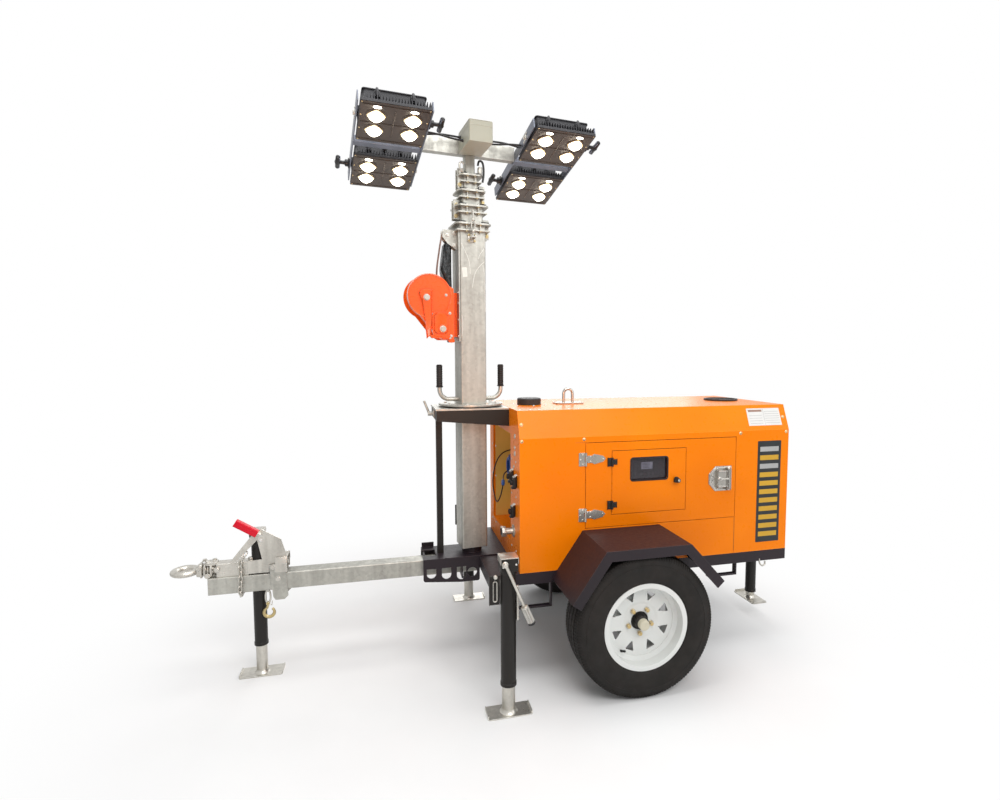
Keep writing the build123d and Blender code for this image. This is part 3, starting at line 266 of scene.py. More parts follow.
metals = [
    # name, colour, roughness, spangle, spangle scale, streaks
    ("galvanised", (0.44, 0.435, 0.395), 0.46, 0.35, 75.0, 0.22),
    ("brightZinc", (0.56, 0.54, 0.49), 0.34, 0.2, 120.0, 0.25),
    ("stainless", (0.48, 0.46, 0.42), 0.2, 0.06, 200.0, 0.38),
    ("rubbedZinc", (0.66, 0.66, 0.61), 0.5, 0.15, 90.0, 0.15),
    ("brass", (0.62, 0.47, 0.22), 0.34, 0.1, 260.0, 0.15),
    ("yellowZinc", (0.5, 0.4, 0.2), 0.4, 0.2, 150.0, 0.25),
]
for entry in metals:
    makeZinc(*entry)


def makeRubber(name, colour, dusty, rough, grain=900.0, strength=0.4):
    # moulded rubber and plastic: fine pitting and a film of dust
    tree, shader = startMaterial(name)
    film = cloudValue(tree, Scale=9.0, Low=0.0, High=1.0)
    gloss = cloudValue(tree, Scale=30.0, Low=rough - 0.07, High=rough + 0.07)
    place = put(tree, "ShaderNodeTexCoord")
    pits = put(tree, "ShaderNodeTexNoise", Vector=place.outputs["Object"], Scale=grain, Detail=2.0)
    body = blendColour(tree, film, tint(colour), tint(dusty))
    bump = put(tree, "ShaderNodeBump", Strength=strength, Distance=0.0005, Height=pits.outputs["Fac"])
    feed(tree, shader, Base_Color=body, Roughness=gloss, Normal=bump.outputs[0])
    hold(shader, Specular_IOR_Level=0.3)


rubbers = [
    # name, colour, dusty colour, roughness
    ("tyreRubber", (0.008, 0.007, 0.006), (0.015, 0.012, 0.01), 0.68),
    ("blackPlastic", (0.01, 0.01, 0.011), (0.018, 0.018, 0.019), 0.42),
    ("gripRubber", (0.012, 0.01, 0.01), (0.022, 0.019, 0.018), 0.5),
    ("cableSheath", (0.008, 0.008, 0.009), (0.016, 0.016, 0.017), 0.38),
    ("bluePlastic", (0.02, 0.1, 0.42), (0.03, 0.13, 0.48), 0.38),
    ("redPlastic", (0.5, 0.02, 0.02), (0.56, 0.04, 0.03), 0.38),
    ("creamPlastic", (0.66, 0.62, 0.48), (0.58, 0.54, 0.42), 0.45),
    ("strapWebbing", (0.36, 0.22, 0.17), (0.28, 0.18, 0.15), 0.75),
    ("labelWhite", (0.72, 0.72, 0.7), (0.66, 0.67, 0.66), 0.45),
    ("plateDark", (0.02, 0.024, 0.026), (0.028, 0.032, 0.034), 0.4),
    ("plateGold", (0.62, 0.36, 0.03), (0.56, 0.32, 0.03), 0.4),
    ("plateGrey", (0.42, 0.43, 0.43), (0.36, 0.37, 0.37), 0.4),
]
for entry in rubbers:
    makeRubber(*entry)


def makeLampBody(name, colour, shade, metallic, rough):
    tree, shader = startMaterial(name)
    cloud = cloudValue(tree, Scale=14.0)
    fine = cloudValue(tree, Scale=220.0, Low=rough - 0.08, High=rough + 0.08)
    rim = useGroup(tree, "edge", Radius=0.001)
    body = blendColour(tree, cloud, tint(colour), tint(shade))
    lighterEdges = blendColour(tree, rim.outputs["Edge"], body, tint(colour, 4.0))
    bump = put(tree, "ShaderNodeBump", Strength=0.3, Distance=0.0003, Height=fine)
    feed(tree, bump, Normal=rim.outputs["Normal"])
    feed(tree, shader, Base_Color=lighterEdges, Roughness=fine, Normal=bump.outputs[0])
    hold(shader, Metallic=metallic)


makeLampBody("lampBlack", (0.022, 0.022, 0.025), (0.034, 0.034, 0.038), 0.3, 0.42)
makeLampBody("lampFace", (0.06, 0.048, 0.04), (0.085, 0.066, 0.052), 0.35, 0.36)
makeLampBody("lampBar", (0.15, 0.165, 0.2), (0.2, 0.21, 0.25), 0.75, 0.38)


def makeGlow(name, colour, strength):
    tree, shader = startMaterial(name)
    lens = cloudValue(tree, Scale=90.0, Low=0.85, High=1.0)
    bright = blendColour(tree, lens, tint(colour, 0.8), tint(colour))
    feed(tree, shader, Emission_Color=bright, Base_Color=bright)
    hold(shader, Emission_Strength=strength, Roughness=0.2)


makeGlow("ledGlow", (1.0, 0.93, 0.78, 1.0), 9.0)
makeGlow("ledHalo", (1.0, 0.8, 0.42, 1.0), 0.6)
makeGlow("screenGlow", (0.52, 0.6, 0.62, 1.0), 2.2)


def makeSmokedGlass():
    tree, shader = startMaterial("smokedGlass")
    haze = cloudValue(tree, Scale=12.0, Low=0.03, High=0.09)
    tree.links.new(haze, shader.inputs["Roughness"])
    hold(shader, Base_Color=(0.15, 0.13, 0.16, 1), Transmission_Weight=0.85, IOR=1.49)


def makeGlossBag():
    # thin black sheet with soft creases
    tree, shader = startMaterial("bagSheet")
    crease = cloudValue(tree, Scale=26.0, Stretch=(1.6, 1.6, 0.6))
    body = blendColour(tree, crease, (0.006, 0.007, 0.008, 1), (0.016, 0.02, 0.022, 1))
    bump = put(tree, "ShaderNodeBump", Strength=0.9, Distance=0.006, Height=crease)
    feed(tree, shader, Base_Color=body, Normal=bump.outputs[0])
    hold(shader, Roughness=0.13, Specular_IOR_Level=0.45)


makeSmokedGlass()
makeGlossBag()
print("materials made:", len(materials))

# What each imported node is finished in
finishes = {
    "tyreRubber": ["tyre_left", "tyre_right"],
    "wheelPaint": ["wheel_left", "wheel_right"],
    "framePaint": ["running_gear", "floor_frame", "under_frame", "drawbar_housing", "fenders"],
    "jackPaint": ["jack_mounts", "corner_jack_left", "corner_jack_right", "mast_stand"],
    "canopyPaint": [
        "canopy_roof", "canopy_left", "canopy_right", "canopy_front", "canopy_rear",
        "service_door_left", "service_door_right", "control_door",
    ],
    "enginePaint": ["engine_block"],
    "stainless": ["door_hardware_left", "door_hardware_right", "hinge_leaves", "lifting_eye"],
    "blackPlastic": ["control_panel", "power_sockets"],
    "smokedGlass": ["control_window"],
    "galvanised": [
        "drawbar", "stand_plate", "mast_section_1", "mast_section_2",
        "mast_section_3", "mast_section_4", "mast_section_5", "mast_turntable", "head_crossbar",
    ],
    "brightZinc": [
        "overrun_coupling", "tow_eye", "handbrake", "corner_leg_left", "corner_leg_right",
        "tongue_leg", "rear_leg", "winch_drum",
    ],
    "winchPaint": ["winch_frame"],
    "bagSheet": ["cable_bag"],
    "boxPaint": ["junction_box"],
    "lampBar": ["lamp_frames"],
    "lampBlack": ["lamp_front_near", "lamp_front_far", "lamp_rear_near", "lamp_rear_far"],
    "roofPaint": ["roof_fittings"],
    "cableSheath": [
        "lamp_cable_front_far", "lamp_cable_front_near", "lamp_cable_rear_far",
        "lamp_cable_rear_near", "lead_loop",
    ],
}
for finish, names in finishes.items():
    for name in names:
        slots = nodes[name].material_slots
        for slot in slots:
            slot.material = materials[finish]
print("packed nodes finished")


# Floor, light and camera

studio = {
    "floorReach": 40.0,
    "shadowFade": (0.9, 2.3),
    "worldStrength": (0.44, 1.0),
    "glossyShare": 0.85,
}
studioLamps = [
    # name, place, target, size, power, colour
    ("key", (-0.7, 4.5, 4.5), (0.0, 0.2, 1.1), (3.4, 2.4), 135, (1, 1, 1)),
    ("fill", (-4.2, 3.4, 2.4), (-0.3, 0.2, 0.9), (3.0, 3.0), 35, (1, 1, 1)),
    ("top", (0.0, 0.5, 5.6), (0.0, 0.0, 0.8), (4.0, 3.0), 145, (1, 1, 1)),
    ("rear", (-1.5, -4.5, 3.2), (0.0, 0.0, 1.0), (4.0, 3.0), 80, (1, 1, 1)),
    ("bounce", (0.35, 1.5, 1.3), (0.2, 0.0, 2.45), (0.8, 0.6), 7, (1.0, 0.42, 0.18)),
]
cameraFit = {
    "place": (0.5796, 2.9087, 1.5086),
    "right": (-0.9672, 0.25402, 0.00009),
    "up": (-0.01906, -0.0729, 0.99716),
    "forward": (-0.2533, -0.96445, -0.07534),
    "sensorWidth": 36.0,
    "lens": 20.88,
    "shift": (-0.03676, -0.00126),
}


def makeFloor():
    mesh = bpy.data.meshes.new("floor")
    reach = studio["floorReach"]
    mesh.from_pydata(
        [(-reach, -reach, 0), (reach, -reach, 0), (reach, reach, 0), (-reach, reach, 0)], [], [(0, 1, 2, 3)]
    )
    floor = bpy.data.objects.new("floor", mesh)
    bpy.context.scene.collection.objects.link(floor)
    tree, shader = startMaterial("paleFloor")
    speck = cloudValue(tree, Scale=3.0)
    ground = blendColour(tree, speck, (0.86, 0.86, 0.86, 1), (0.88, 0.88, 0.88, 1))
    tree.links.new(ground, shader.inputs["Base Color"])
    hold(shader, Roughness=0.9, Specular_IOR_Level=0.0)
    # away from the part the camera sees plain white, and near it the shadow stays
    place = put(tree, "ShaderNodeTexCoord")
    away = put(tree, "ShaderNodeVectorMath", {"operation": "LENGTH"}, n_0=place.outputs["Object"])
    near, far = studio["shadowFade"]
    smooth = {"interpolation_type": "SMOOTHSTEP"}
    fade = put(tree, "ShaderNodeMapRange", smooth, Value=away.outputs["Value"], n_1=near, n_2=far)
    rays = put(tree, "ShaderNodeLightPath")
    seen = maths(tree, "MULTIPLY", fade.outputs[0], rays.outputs["Is Camera Ray"])
    white = put(tree, "ShaderNodeEmission", Color=(1, 1, 1, 1), Strength=1.0)
    mixed = put(tree, "ShaderNodeMixShader", n_0=seen, n_1=shader.outputs[0], n_2=white.outputs[0])
    tree.links.new(mixed.outputs[0], tree.nodes["Material Output"].inputs["Surface"])
    mesh.materials.append(materials["paleFloor"])


def makeWorld():
    world = bpy.data.worlds.new("studio")
    bpy.context.scene.world = world
    world.use_nodes = True
    tree = world.node_tree
    background = tree.nodes["Background"]
    rays = put(tree, "ShaderNodeLightPath")
    seen = maths(tree, "MAXIMUM", rays.outputs["Is Camera Ray"], rays.outputs["Is Transmission Ray"])
    shiny = maths(tree, "MULTIPLY", rays.outputs["Is Glossy Ray"], studio["glossyShare"])
    most = maths(tree, "MAXIMUM", seen, shiny)
    low, high = studio["worldStrength"]
    strength = put(tree, "ShaderNodeMapRange", Value=most, n_3=low, n_4=high)
    background.inputs["Color"].default_value = (1, 1, 1, 1)
    tree.links.new(strength.outputs[0], background.inputs["Strength"])


def makeStudioLamp(name, place, target, size, power, colour):
    light = bpy.data.lights.new(name, "AREA")
    light.shape = "RECTANGLE"
    light.size, light.size_y = size
    light.energy = power
    light.color = colour
    lamp = bpy.data.objects.new(name, light)
    bpy.context.scene.collection.objects.link(lamp)
    lamp.location = place
    lamp.rotation_euler = (Vector(target) - Vector(place)).to_track_quat("-Z", "Y").to_euler()


def makeCamera():
    data = bpy.data.cameras.new("camera")
    camera = bpy.data.objects.new("camera", data)
    bpy.context.scene.collection.objects.link(camera)
    right, up, forward = [Vector(cameraFit[way]) for way in ("right", "up", "forward")]
    axes = Matrix((right, up, -forward)).transposed()
    camera.matrix_world = Matrix.Translation(cameraFit["place"]) @ axes.to_4x4()
    data.sensor_fit = "HORIZONTAL"
    data.sensor_width = cameraFit["sensorWidth"]
    data.lens = cameraFit["lens"]
    data.shift_x, data.shift_y = cameraFit["shift"]
    bpy.context.scene.camera = camera


makeFloor()
makeWorld()
for entry in studioLamps:
    makeStudioLamp(*entry)
makeCamera()
print("stage set")

# Mesh tools

def frameAt(place, normal, along=(0, 0, 1)):
    # a matrix whose Z follows the normal and whose Y lies as near as it can to along
    z = Vector(normal).normalized()
    y = Vector(along) - Vector(along).dot(z) * z
    if y.length < 1e-6:
        y = Vector((1, 0, 0)) - z.x * z
    y.normalize()
    return Matrix.Translation(place) @ Matrix((y.cross(z), y, z)).transposed().to_4x4()


def toSide(side):
    # the left side as it is, or its mirror image for the right
    return Matrix.Identity(4) if side > 0 else Matrix.Scale(-1, 4, (0, 1, 0))


class Shape:
    # one mesh that is put together from turned, extruded and swept parts
    def __init__(self):
        self.bm = bmesh.new()

    def close(self, verts, faces, at, paint):
        for vert in verts:
            vert.co = at @ vert.co
        for face in faces:
            face.material_index = paint
        return faces

    def ring(self, points):
        return [self.bm.verts.new(p) for p in points]

    def bridge(self, a, b):
        count = len(a)
        return [self.bm.faces.new((a[i], a[(i + 1) % count], b[(i + 1) % count], b[i])) for i in range(count)]

    def loft(self, rows, closed=False):
        faces = []
        for low, high in zip(rows, rows[1:]):
            faces += self.bridge(low, high)
        return faces + (self.bridge(rows[-1], rows[0]) if closed else [])

    def cap(self, rows):
        return [self.bm.faces.new(rows[0]), self.bm.faces.new(rows[-1])]

    def lathe(self, profile, at=Matrix(), sides=32, paint=0):
        # profile: (radius, height) along the matrix's Z, ends on the axis are closed by a fan
        verts, faces, last = [], [], None
        for radius, height in profile:
            if radius < 1e-6:
                row = [self.bm.verts.new((0, 0, height))]
            else:
                turns = [2 * pi * i / sides for i in range(sides)]
                row = self.ring([(radius * cos(t), radius * sin(t), height) for t in turns])
            verts += row
            if last is not None:
                if len(last) == 1 or len(row) == 1:
                    tip, rim = (last[0], row) if len(last) == 1 else (row[0], last)
                    if len(rim) > 1:
                        faces += [
                            self.bm.faces.new((tip, rim[i], rim[(i + 1) % sides])) for i in range(sides)]
                else:
                    faces += self.bridge(last, row)
            last = row
        return self.close(verts, faces, at, paint)

    def prism(self, outline, depth, at=Matrix(), paint=0, bevel=0.0, segments=2):
        # an outline in the matrix's XY plane, extruded along its Z
        low = self.ring([(x, y, 0) for x, y in outline])
        high = self.ring([(x, y, depth) for x, y in outline])
        faces = [self.bm.faces.new(low), self.bm.faces.new(high)] + self.bridge(low, high)
        bmesh.ops.recalc_face_normals(self.bm, faces=faces)
        self.close(low + high, faces, at, paint)
        if bevel:
            edges = list(dict.fromkeys(edge for face in faces for edge in face.edges))
            bmesh.ops.bevel(
                self.bm, geom=edges, offset=bevel, segments=segments, profile=0.5,
                affect="EDGES", clamp_overlap=True, material=paint,
            )
        return faces

    def box(self, low, high, at=Matrix(), paint=0, bevel=0.0, segments=2):
        outline = [(low[0], low[1]), (high[0], low[1]), (high[0], high[1]), (low[0], high[1])]
        return self.prism(outline, high[2] - low[2], at @ moveBy(0, 0, low[2]), paint, bevel, segments)

    def tube(self, points, radius, sides=12, paint=0, closed=False, flat=1.0):
        # a round or flattened bar along points, turned as little as it can between them
        points = [Vector(p) for p in points]
        count = len(points)
        rows = []
        axis = (points[1] - points[0]).normalized()
        side = axis.orthogonal().normalized()
        for i, point in enumerate(points):
            before = points[i - 1] if i or closed else point
            after = points[(i + 1) % count] if i < count - 1 or closed else point
            ahead = (after - before).normalized()
            side = (side - side.dot(ahead) * ahead).normalized()
            other = ahead.cross(side)
            size = radius[i] if isinstance(radius, (list, tuple)) else radius
            turns = [2 * pi * k / sides for k in range(sides)]
            row = self.ring([point + side * size * cos(t) + other * size * flat * sin(t) for t in turns])
            rows.append(row)
        faces = self.loft(rows, closed)
        if not closed:
            faces += self.cap(rows)
        bmesh.ops.recalc_face_normals(self.bm, faces=faces)
        return self.close([], faces, Matrix(), paint)

    def finish(self, name, finishNames, body, slot, smooth=32, replaces=()):
        bmesh.ops.remove_doubles(self.bm, verts=self.bm.verts, dist=1e-6)
        bmesh.ops.recalc_face_normals(self.bm, faces=self.bm.faces)
        mesh = bpy.data.meshes.new(name)
        self.bm.to_mesh(mesh)
        self.bm.free()
        return addPiece(mesh, name, finishNames, body, smooth, replaces)


def addPiece(mesh, name, finishNames, body, smooth=32, replaces=()):
    if not mesh.materials:
        for finish in finishNames:
            mesh.materials.append(materials[finish])
    mesh.shade_smooth()
    mesh.set_sharp_from_angle(angle=radians(smooth))
    piece = bpy.data.objects.new(name, mesh)
    bpy.context.scene.collection.objects.link(piece)
    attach(piece, body)
    if replaces:
        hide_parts(*replaces)
    return piece


def barrel(radius, height, rim, drop):
    # the outline of a short bar whose two rims are turned down
    low = radius - drop
    return [(0, 0), (low, 0), (radius, rim), (radius, height - rim), (low, height), (0, height)]


def roundedOutline(width, height, radius, steps=5, centre=(0, 0)):
    points = []
    for turn, (sx, sy) in enumerate(((1, 1), (-1, 1), (-1, -1), (1, -1))):
        for k in range(steps + 1):
            angle = radians(90 * turn + 90 * k / steps)
            x = centre[0] + sx * (width / 2 - radius) + radius * cos(angle)
            y = centre[1] + sy * (height / 2 - radius) + radius * sin(angle)
            points.append((x, y))
    return points


def smoothPath(points, steps=8, closed=False):
    # a Catmull-Rom line through the points
    points = [Vector(p) for p in points]
    count = len(points)
    spans = count if closed else count - 1
    line = []
    for i in range(spans):
        ends = [
            points[(i + k) % count] if closed else points[max(0, min(count - 1, i + k))]
            for k in (-1, 0, 1, 2)]
        p0, p1, p2, p3 = ends
        for k in range(steps):
            t = k / steps
            a = 2 * p1 + (p2 - p0) * t + (2 * p0 - 5 * p1 + 4 * p2 - p3) * t * t
            line.append((a + (3 * p1 - 3 * p2 + p3 - p0) * t * t * t) / 2)
    if not closed:
        line.append(points[-1])
    return line


# Geometry Nodes trees

def addInputs(tree, inputs):
    for label, kind, value in inputs:
        socket = tree.interface.new_socket(label, in_out="INPUT", socket_type=kind)
        if value is not None:
            socket.default_value = value


def applyTree(mesh, tree, values):
    # runs a tree on a mesh and returns the plain result
    holder = bpy.data.objects.new("holder", mesh)
    bpy.context.scene.collection.objects.link(holder)
    modifier = holder.modifiers.new("build", "NODES")
    modifier.node_group = tree
    labels = {item.name: item.identifier for item in tree.interface.items_tree if item.in_out == "INPUT"}
    for label, value in values.items():
        modifier[labels[label]] = value
    graph = bpy.context.evaluated_depsgraph_get()
    result = bpy.data.meshes.new_from_object(holder.evaluated_get(graph), depsgraph=graph)
    bpy.data.objects.remove(holder)
    return result


def makeFastenerTree():
    tree = bpy.data.node_groups.new("fasteners", "GeometryNodeTree")
    addInputs(tree, [
        ("Geometry", "NodeSocketGeometry", None),
        ("Head radius", "NodeSocketFloat", 0.006),
        ("Head height", "NodeSocketFloat", 0.004),
        ("Washer radius", "NodeSocketFloat", 0.009),
        ("Sides", "NodeSocketInt", 6),
        ("Domed", "NodeSocketBool", False),
        ("Seed", "NodeSocketInt", 1),
        ("Finish", "NodeSocketMaterial", None),
    ])
    tree.interface.new_socket("Geometry", in_out="OUTPUT", socket_type="NodeSocketGeometry")
    inside = tree.nodes.new("NodeGroupInput")
    outside = tree.nodes.new("NodeGroupOutput")
    given = inside.outputs
    hexHead = put(tree, "GeometryNodeMeshCylinder", Vertices=given["Sides"], Radius=given["Head radius"])
    tree.links.new(given["Head height"], hexHead.inputs["Depth"])
    dome = put(tree, "GeometryNodeMeshUVSphere", Segments=14, Rings=8, Radius=given["Head radius"])
    ratio = maths(tree, "DIVIDE", given["Head height"], given["Head radius"])
    flatness = put(tree, "ShaderNodeCombineXYZ", X=1.0, Y=1.0, Z=ratio)
    flatDome = put(tree, "GeometryNodeTransform", Geometry=dome.outputs["Mesh"], Scale=flatness.outputs[0])
    head = put(tree, "GeometryNodeSwitch", {"input_type": "GEOMETRY"}, Switch=given["Domed"])
    lift = put(tree, "ShaderNodeCombineXYZ", Z=maths(tree, "MULTIPLY", given["Head height"], 0.5))
    raised = put(tree, "GeometryNodeTransform", Geometry=hexHead.outputs["Mesh"], Translation=lift.outputs[0])
    tree.links.new(raised.outputs[0], head.inputs["False"])
    tree.links.new(flatDome.outputs[0], head.inputs["True"])
    thin = maths(tree, "MULTIPLY", given["Head height"], 0.3)
    washer = put(tree, "GeometryNodeMeshCylinder", Vertices=18, Radius=given["Washer radius"], Depth=thin)
    both = put(tree, "GeometryNodeJoinGeometry")
    tree.links.new(head.outputs[0], both.inputs[0])
    tree.links.new(washer.outputs["Mesh"], both.inputs[0])
    facing = put(tree, "GeometryNodeInputNamedAttribute", {"data_type": "FLOAT_VECTOR"}, Name="facing")
    align = put(tree, "FunctionNodeAlignRotationToVector", {"axis": "Z"}, Vector=facing.outputs["Attribute"])
    spin = put(tree, "FunctionNodeRandomValue", {"data_type": "FLOAT"}, Seed=given["Seed"])
    spin.inputs[3].default_value = 6.28
    turned = put(tree, "ShaderNodeCombineXYZ", Z=spin.outputs[1])
    turn = put(tree, "FunctionNodeEulerToRotation", Euler=turned.outputs[0])
    rotate = put(tree, "FunctionNodeRotateRotation", {"rotation_space": "LOCAL"}, Rotation=align.outputs[0])
    tree.links.new(turn.outputs[0], rotate.inputs["Rotate By"])
    points = put(tree, "GeometryNodeMeshToPoints", Mesh=given["Geometry"])
    copies = put(tree, "GeometryNodeInstanceOnPoints", Points=points.outputs[0], Instance=both.outputs[0])
    tree.links.new(rotate.outputs[0], copies.inputs["Rotation"])
    real = put(tree, "GeometryNodeRealizeInstances", Geometry=copies.outputs[0])
    dressed = put(tree, "GeometryNodeSetMaterial", Geometry=real.outputs[0], Material=given["Finish"])
    tree.links.new(dressed.outputs[0], outside.inputs[0])
    return tree


fastenerTree = makeFastenerTree()


def fasteners(name, spots, finish, body, slot, radius, height, washer=0.0, sides=6, domed=False):
    # spots: (place, outward direction) of each head
    mesh = bpy.data.meshes.new(name + "Spots")
    mesh.from_pydata([tuple(place) for place, facing in spots], [], [])
    facings = mesh.attributes.new("facing", "FLOAT_VECTOR", "POINT")
    facings.data.foreach_set("vector", [c for place, facing in spots for c in Vector(facing).normalized()])
    values = {
        "Head radius": radius,
        "Head height": height,
        "Washer radius": washer or radius * 1.02,
        "Sides": sides,
        "Domed": domed,
        "Seed": 3,
        "Finish": materials[finish],
    }
    result = applyTree(mesh, fastenerTree, values)
    result.name = name
    return addPiece(result, name, [finish], body)


def domes(*spec):
    return fasteners(*spec, domed=True)


# Wheels

wheelMiddle = 0.586
tyre = {
    "radius": 0.325,
    "treadHalf": 0.074,
    "halfWidth": 0.094,
    "flange": 0.1955,
    "grooveDepth": 0.0075,
    "grooves": (-0.046, -0.016, 0.016, 0.046),
    "grooveWidth": 0.007,
    "lugs": 76,
    "lugSkew": 0.5,
}


def tyreProfile():
    # (radius, offset across the tread), from the outer bead over the tread to the inner bead
    r = tyre["radius"]
    half = tyre["halfWidth"]
    rows = [
        (0.179, 0.078), (tyre["flange"], 0.08), (0.201, 0.0835), (0.204, 0.0862), (0.208, 0.0872),
        (0.212, 0.0885), (0.218, 0.0908), (0.23, 0.093), (0.248, half), (0.264, 0.0932), (0.276, 0.0915),
        (0.2775, 0.0925), (0.28, 0.0922), (0.2815, 0.0905), (0.292, 0.0882), (0.302, 0.085), (0.309, 0.0815),
        (0.315, 0.077), (0.3175, 0.074),
    ]
    base = r - tyre["grooveDepth"]
    inner = [(base - 0.001, 0.066), (base, 0.033), (base + 0.0005, 0.0)]
    side = rows + inner
    return side + [(radius, -offset) for radius, offset in reversed(side[:-1])]


def makeLugTree():
    # tread blocks and shoulder ribs, copied round the tyre
    tree = bpy.data.node_groups.new("treadBlocks", "GeometryNodeTree")
    addInputs(tree, [
        ("Geometry", "NodeSocketGeometry", None),
        ("Count", "NodeSocketInt", 70),
        ("Finish", "NodeSocketMaterial", None),
    ])
    tree.interface.new_socket("Geometry", in_out="OUTPUT", socket_type="NodeSocketGeometry")
    inside = tree.nodes.new("NodeGroupInput")
    outside = tree.nodes.new("NodeGroupOutput")
    line = put(tree, "GeometryNodeMeshLine", Count=inside.outputs["Count"], Offset=(0, 0, 0))
    index = put(tree, "GeometryNodeInputIndex")
    share = maths(tree, "DIVIDE", index.outputs[0], inside.outputs["Count"])
    turn = put(tree, "ShaderNodeCombineXYZ", Y=maths(tree, "MULTIPLY", share, 2 * pi))
    spin = put(tree, "FunctionNodeEulerToRotation", Euler=turn.outputs[0])
    copies = put(
        tree, "GeometryNodeInstanceOnPoints", Points=line.outputs[0], Instance=inside.outputs["Geometry"])
    tree.links.new(spin.outputs[0], copies.inputs["Rotation"])
    real = put(tree, "GeometryNodeRealizeInstances", Geometry=copies.outputs[0])
    dressed = put(
        tree, "GeometryNodeSetMaterial", Geometry=real.outputs[0], Material=inside.outputs["Finish"])
    tree.links.new(dressed.outputs[0], outside.inputs[0])
    return tree


def lugMesh():
    # one pitch of the tread, at the top of the wheel, with its axle along Y
    shape = Shape()
    pitch = 2 * pi / tyre["lugs"]
    base = tyre["radius"] - tyre["grooveDepth"] - 0.002
    half = tyre["treadHalf"]
    edges = [-half - 0.004] + list(tyre["grooves"]) + [half + 0.004]
    gap = tyre["grooveWidth"] / 2
    for row in range(len(edges) - 1):
        start = edges[row] + (gap if row else 0)
        end = edges[row + 1] - (gap if row < len(edges) - 2 else 0)
        shift = 0.5 * pitch * (row % 2)
        blocks = 2 if row in (0, len(edges) - 2) else 1
        for block in range(blocks):
            low = shift + pitch * (block / blocks - 0.5) + pitch * 0.045
            high = shift + pitch * ((block + 1) / blocks - 0.5) - pitch * 0.045
            verts = []
            for radius in (0, 1):
                for across, turnShare in ((start, -1), (end, -1), (end, 1), (start, 1)):
                    crown = tyre["radius"] - 0.0065 * (abs(across) / half) ** 3
                    r = crown if radius else base - 0.0095 * (abs(across) / half) ** 3
                    skew = tyre["lugSkew"] * across * (1 if row % 2 else -1)
                    angle = (low if turnShare < 0 else high) + skew
                    verts.append(shape.bm.verts.new((r * sin(angle), across, r * cos(angle))))
            lowRing, highRing = verts[:4], verts[4:]
            shape.bm.faces.new(highRing)
            shape.bridge(lowRing, highRing)
    for side in (-1, 1):
        # short ribs that carry the pitch down over the shoulder
        for step in range(2):
            angle = pitch * (step / 2 - 0.25)
            at = Matrix.Rotation(angle, 4, "Y")
            points = []
            for y, z in ((side * 0.0745, 0.3172), (side * 0.08, 0.311), (side * 0.0862, 0.2985)):
                points.append(Vector((0, y, z)))
            shape.tube([at @ p for p in points], [0.0042, 0.004, 0.0015], sides=6)
    bmesh.ops.recalc_face_normals(shape.bm, faces=shape.bm.faces)
    mesh = bpy.data.meshes.new("lug")
    shape.bm.to_mesh(mesh)
    shape.bm.free()
    return mesh


lugTree = makeLugTree()


def makeTyre(side, body):
    centre = Vector((axleX, wheelMiddle * side, axleZ))
    carcass = Shape()
    turned = Matrix.Translation(centre) @ turnBy(-90, "X")
    carcass.lathe([(r, y) for r, y in tyreProfile()], turned, sides=144)
    blocks = applyTree(lugMesh(), lugTree, {"Count": tyre["lugs"], "Finish": materials["tyreRubber"]})
    blocks.transform(Matrix.Translation(centre))
    carcass.bm.from_mesh(blocks)
    name = "tyreLeft" if side > 0 else "tyreRight"
    node = "tyre_left" if side > 0 else "tyre_right"
    carcass.finish(name, ["tyreRubber"], body, "tyre", 30, (node,))


wheel = {
    "face": 0.599,
    "nutCircle": 0.05715,
    "nuts": 5,
    "firstNut": 126,
    "valveReach": 0.158,
    "valveAngle": 307,
}


def makeWheelParts(side, body):
    label = "Left" if side > 0 else "Right"
    face = wheel["face"] * side
    out = Vector((0, side, 0))
    spots = []
    for k in range(wheel["nuts"]):
        angle = radians(wheel["firstNut"] + 360 / wheel["nuts"] * k)
        reach = wheel["nutCircle"]
        spots.append(
            (Vector((axleX + reach * cos(angle), face - 0.003 * side, axleZ + reach * sin(angle))), out))
    seats = [(place - out * 0.001, out) for place, _ in spots]
    fasteners("nutSeats" + label, seats, "brightZinc", body, "wheel_white", 0.0135, 0.004, sides=24)
    fasteners("wheelNuts" + label, spots, "brass", body, "wheel_white", 0.0095, 0.014, 0.0115)
    studs = [(place + out * 0.01, out) for place, _ in spots]
    domes("wheelStuds" + label, studs, "brass", body, "wheel_white", 0.0055, 0.007)
    hub = Shape()
    centre = frameAt((axleX, wheelMiddle * side, axleZ), out)
    hub.lathe([(0.0416, 0.0056), (0.0306, 0.006), (0.0306, 0.0382), (0.0247, 0.0442)], centre, 40)
    cap = [(0.0247, 0.0442), (0.0236, 0.062), (0.0222, 0.066), (0.014, 0.0672), (0.012, 0.0664), (0, 0.0666)]
    hub.lathe(cap, centre, 40, 1)
    hub.finish("hubCap" + label, ["gripRubber", "creamPlastic"], body, "wheel_white", 35)
    shape = Shape()
    angle = radians(wheel["valveAngle"])
    reach = wheel["valveReach"]
    foot = Vector((axleX + reach * cos(angle) * side, face + 0.002 * side, axleZ + reach * sin(angle)))
    toHub = (Vector((axleX, foot.y, axleZ)) - foot).normalized()
    lean = frameAt(foot, out * 0.9 + toHub * 0.45)
    shape.lathe(
        [
            (0, -0.012), (0.0085, -0.012), (0.0085, 0.0), (0.0065, 0.004), (0.005, 0.016), (0.0045, 0.024),
            (0.0052, 0.025), (0.0052, 0.036), (0.004, 0.038), (0, 0.038)],
        lean, 16)
    shape.finish("tyreValve" + label, ["cableSheath"], body, "tyre")


for side, body in ((1, "left_wheel"), (-1, "right_wheel")):
    makeTyre(side, body)
    makeWheelParts(side, body)
print("wheels made")


# Lamps and head

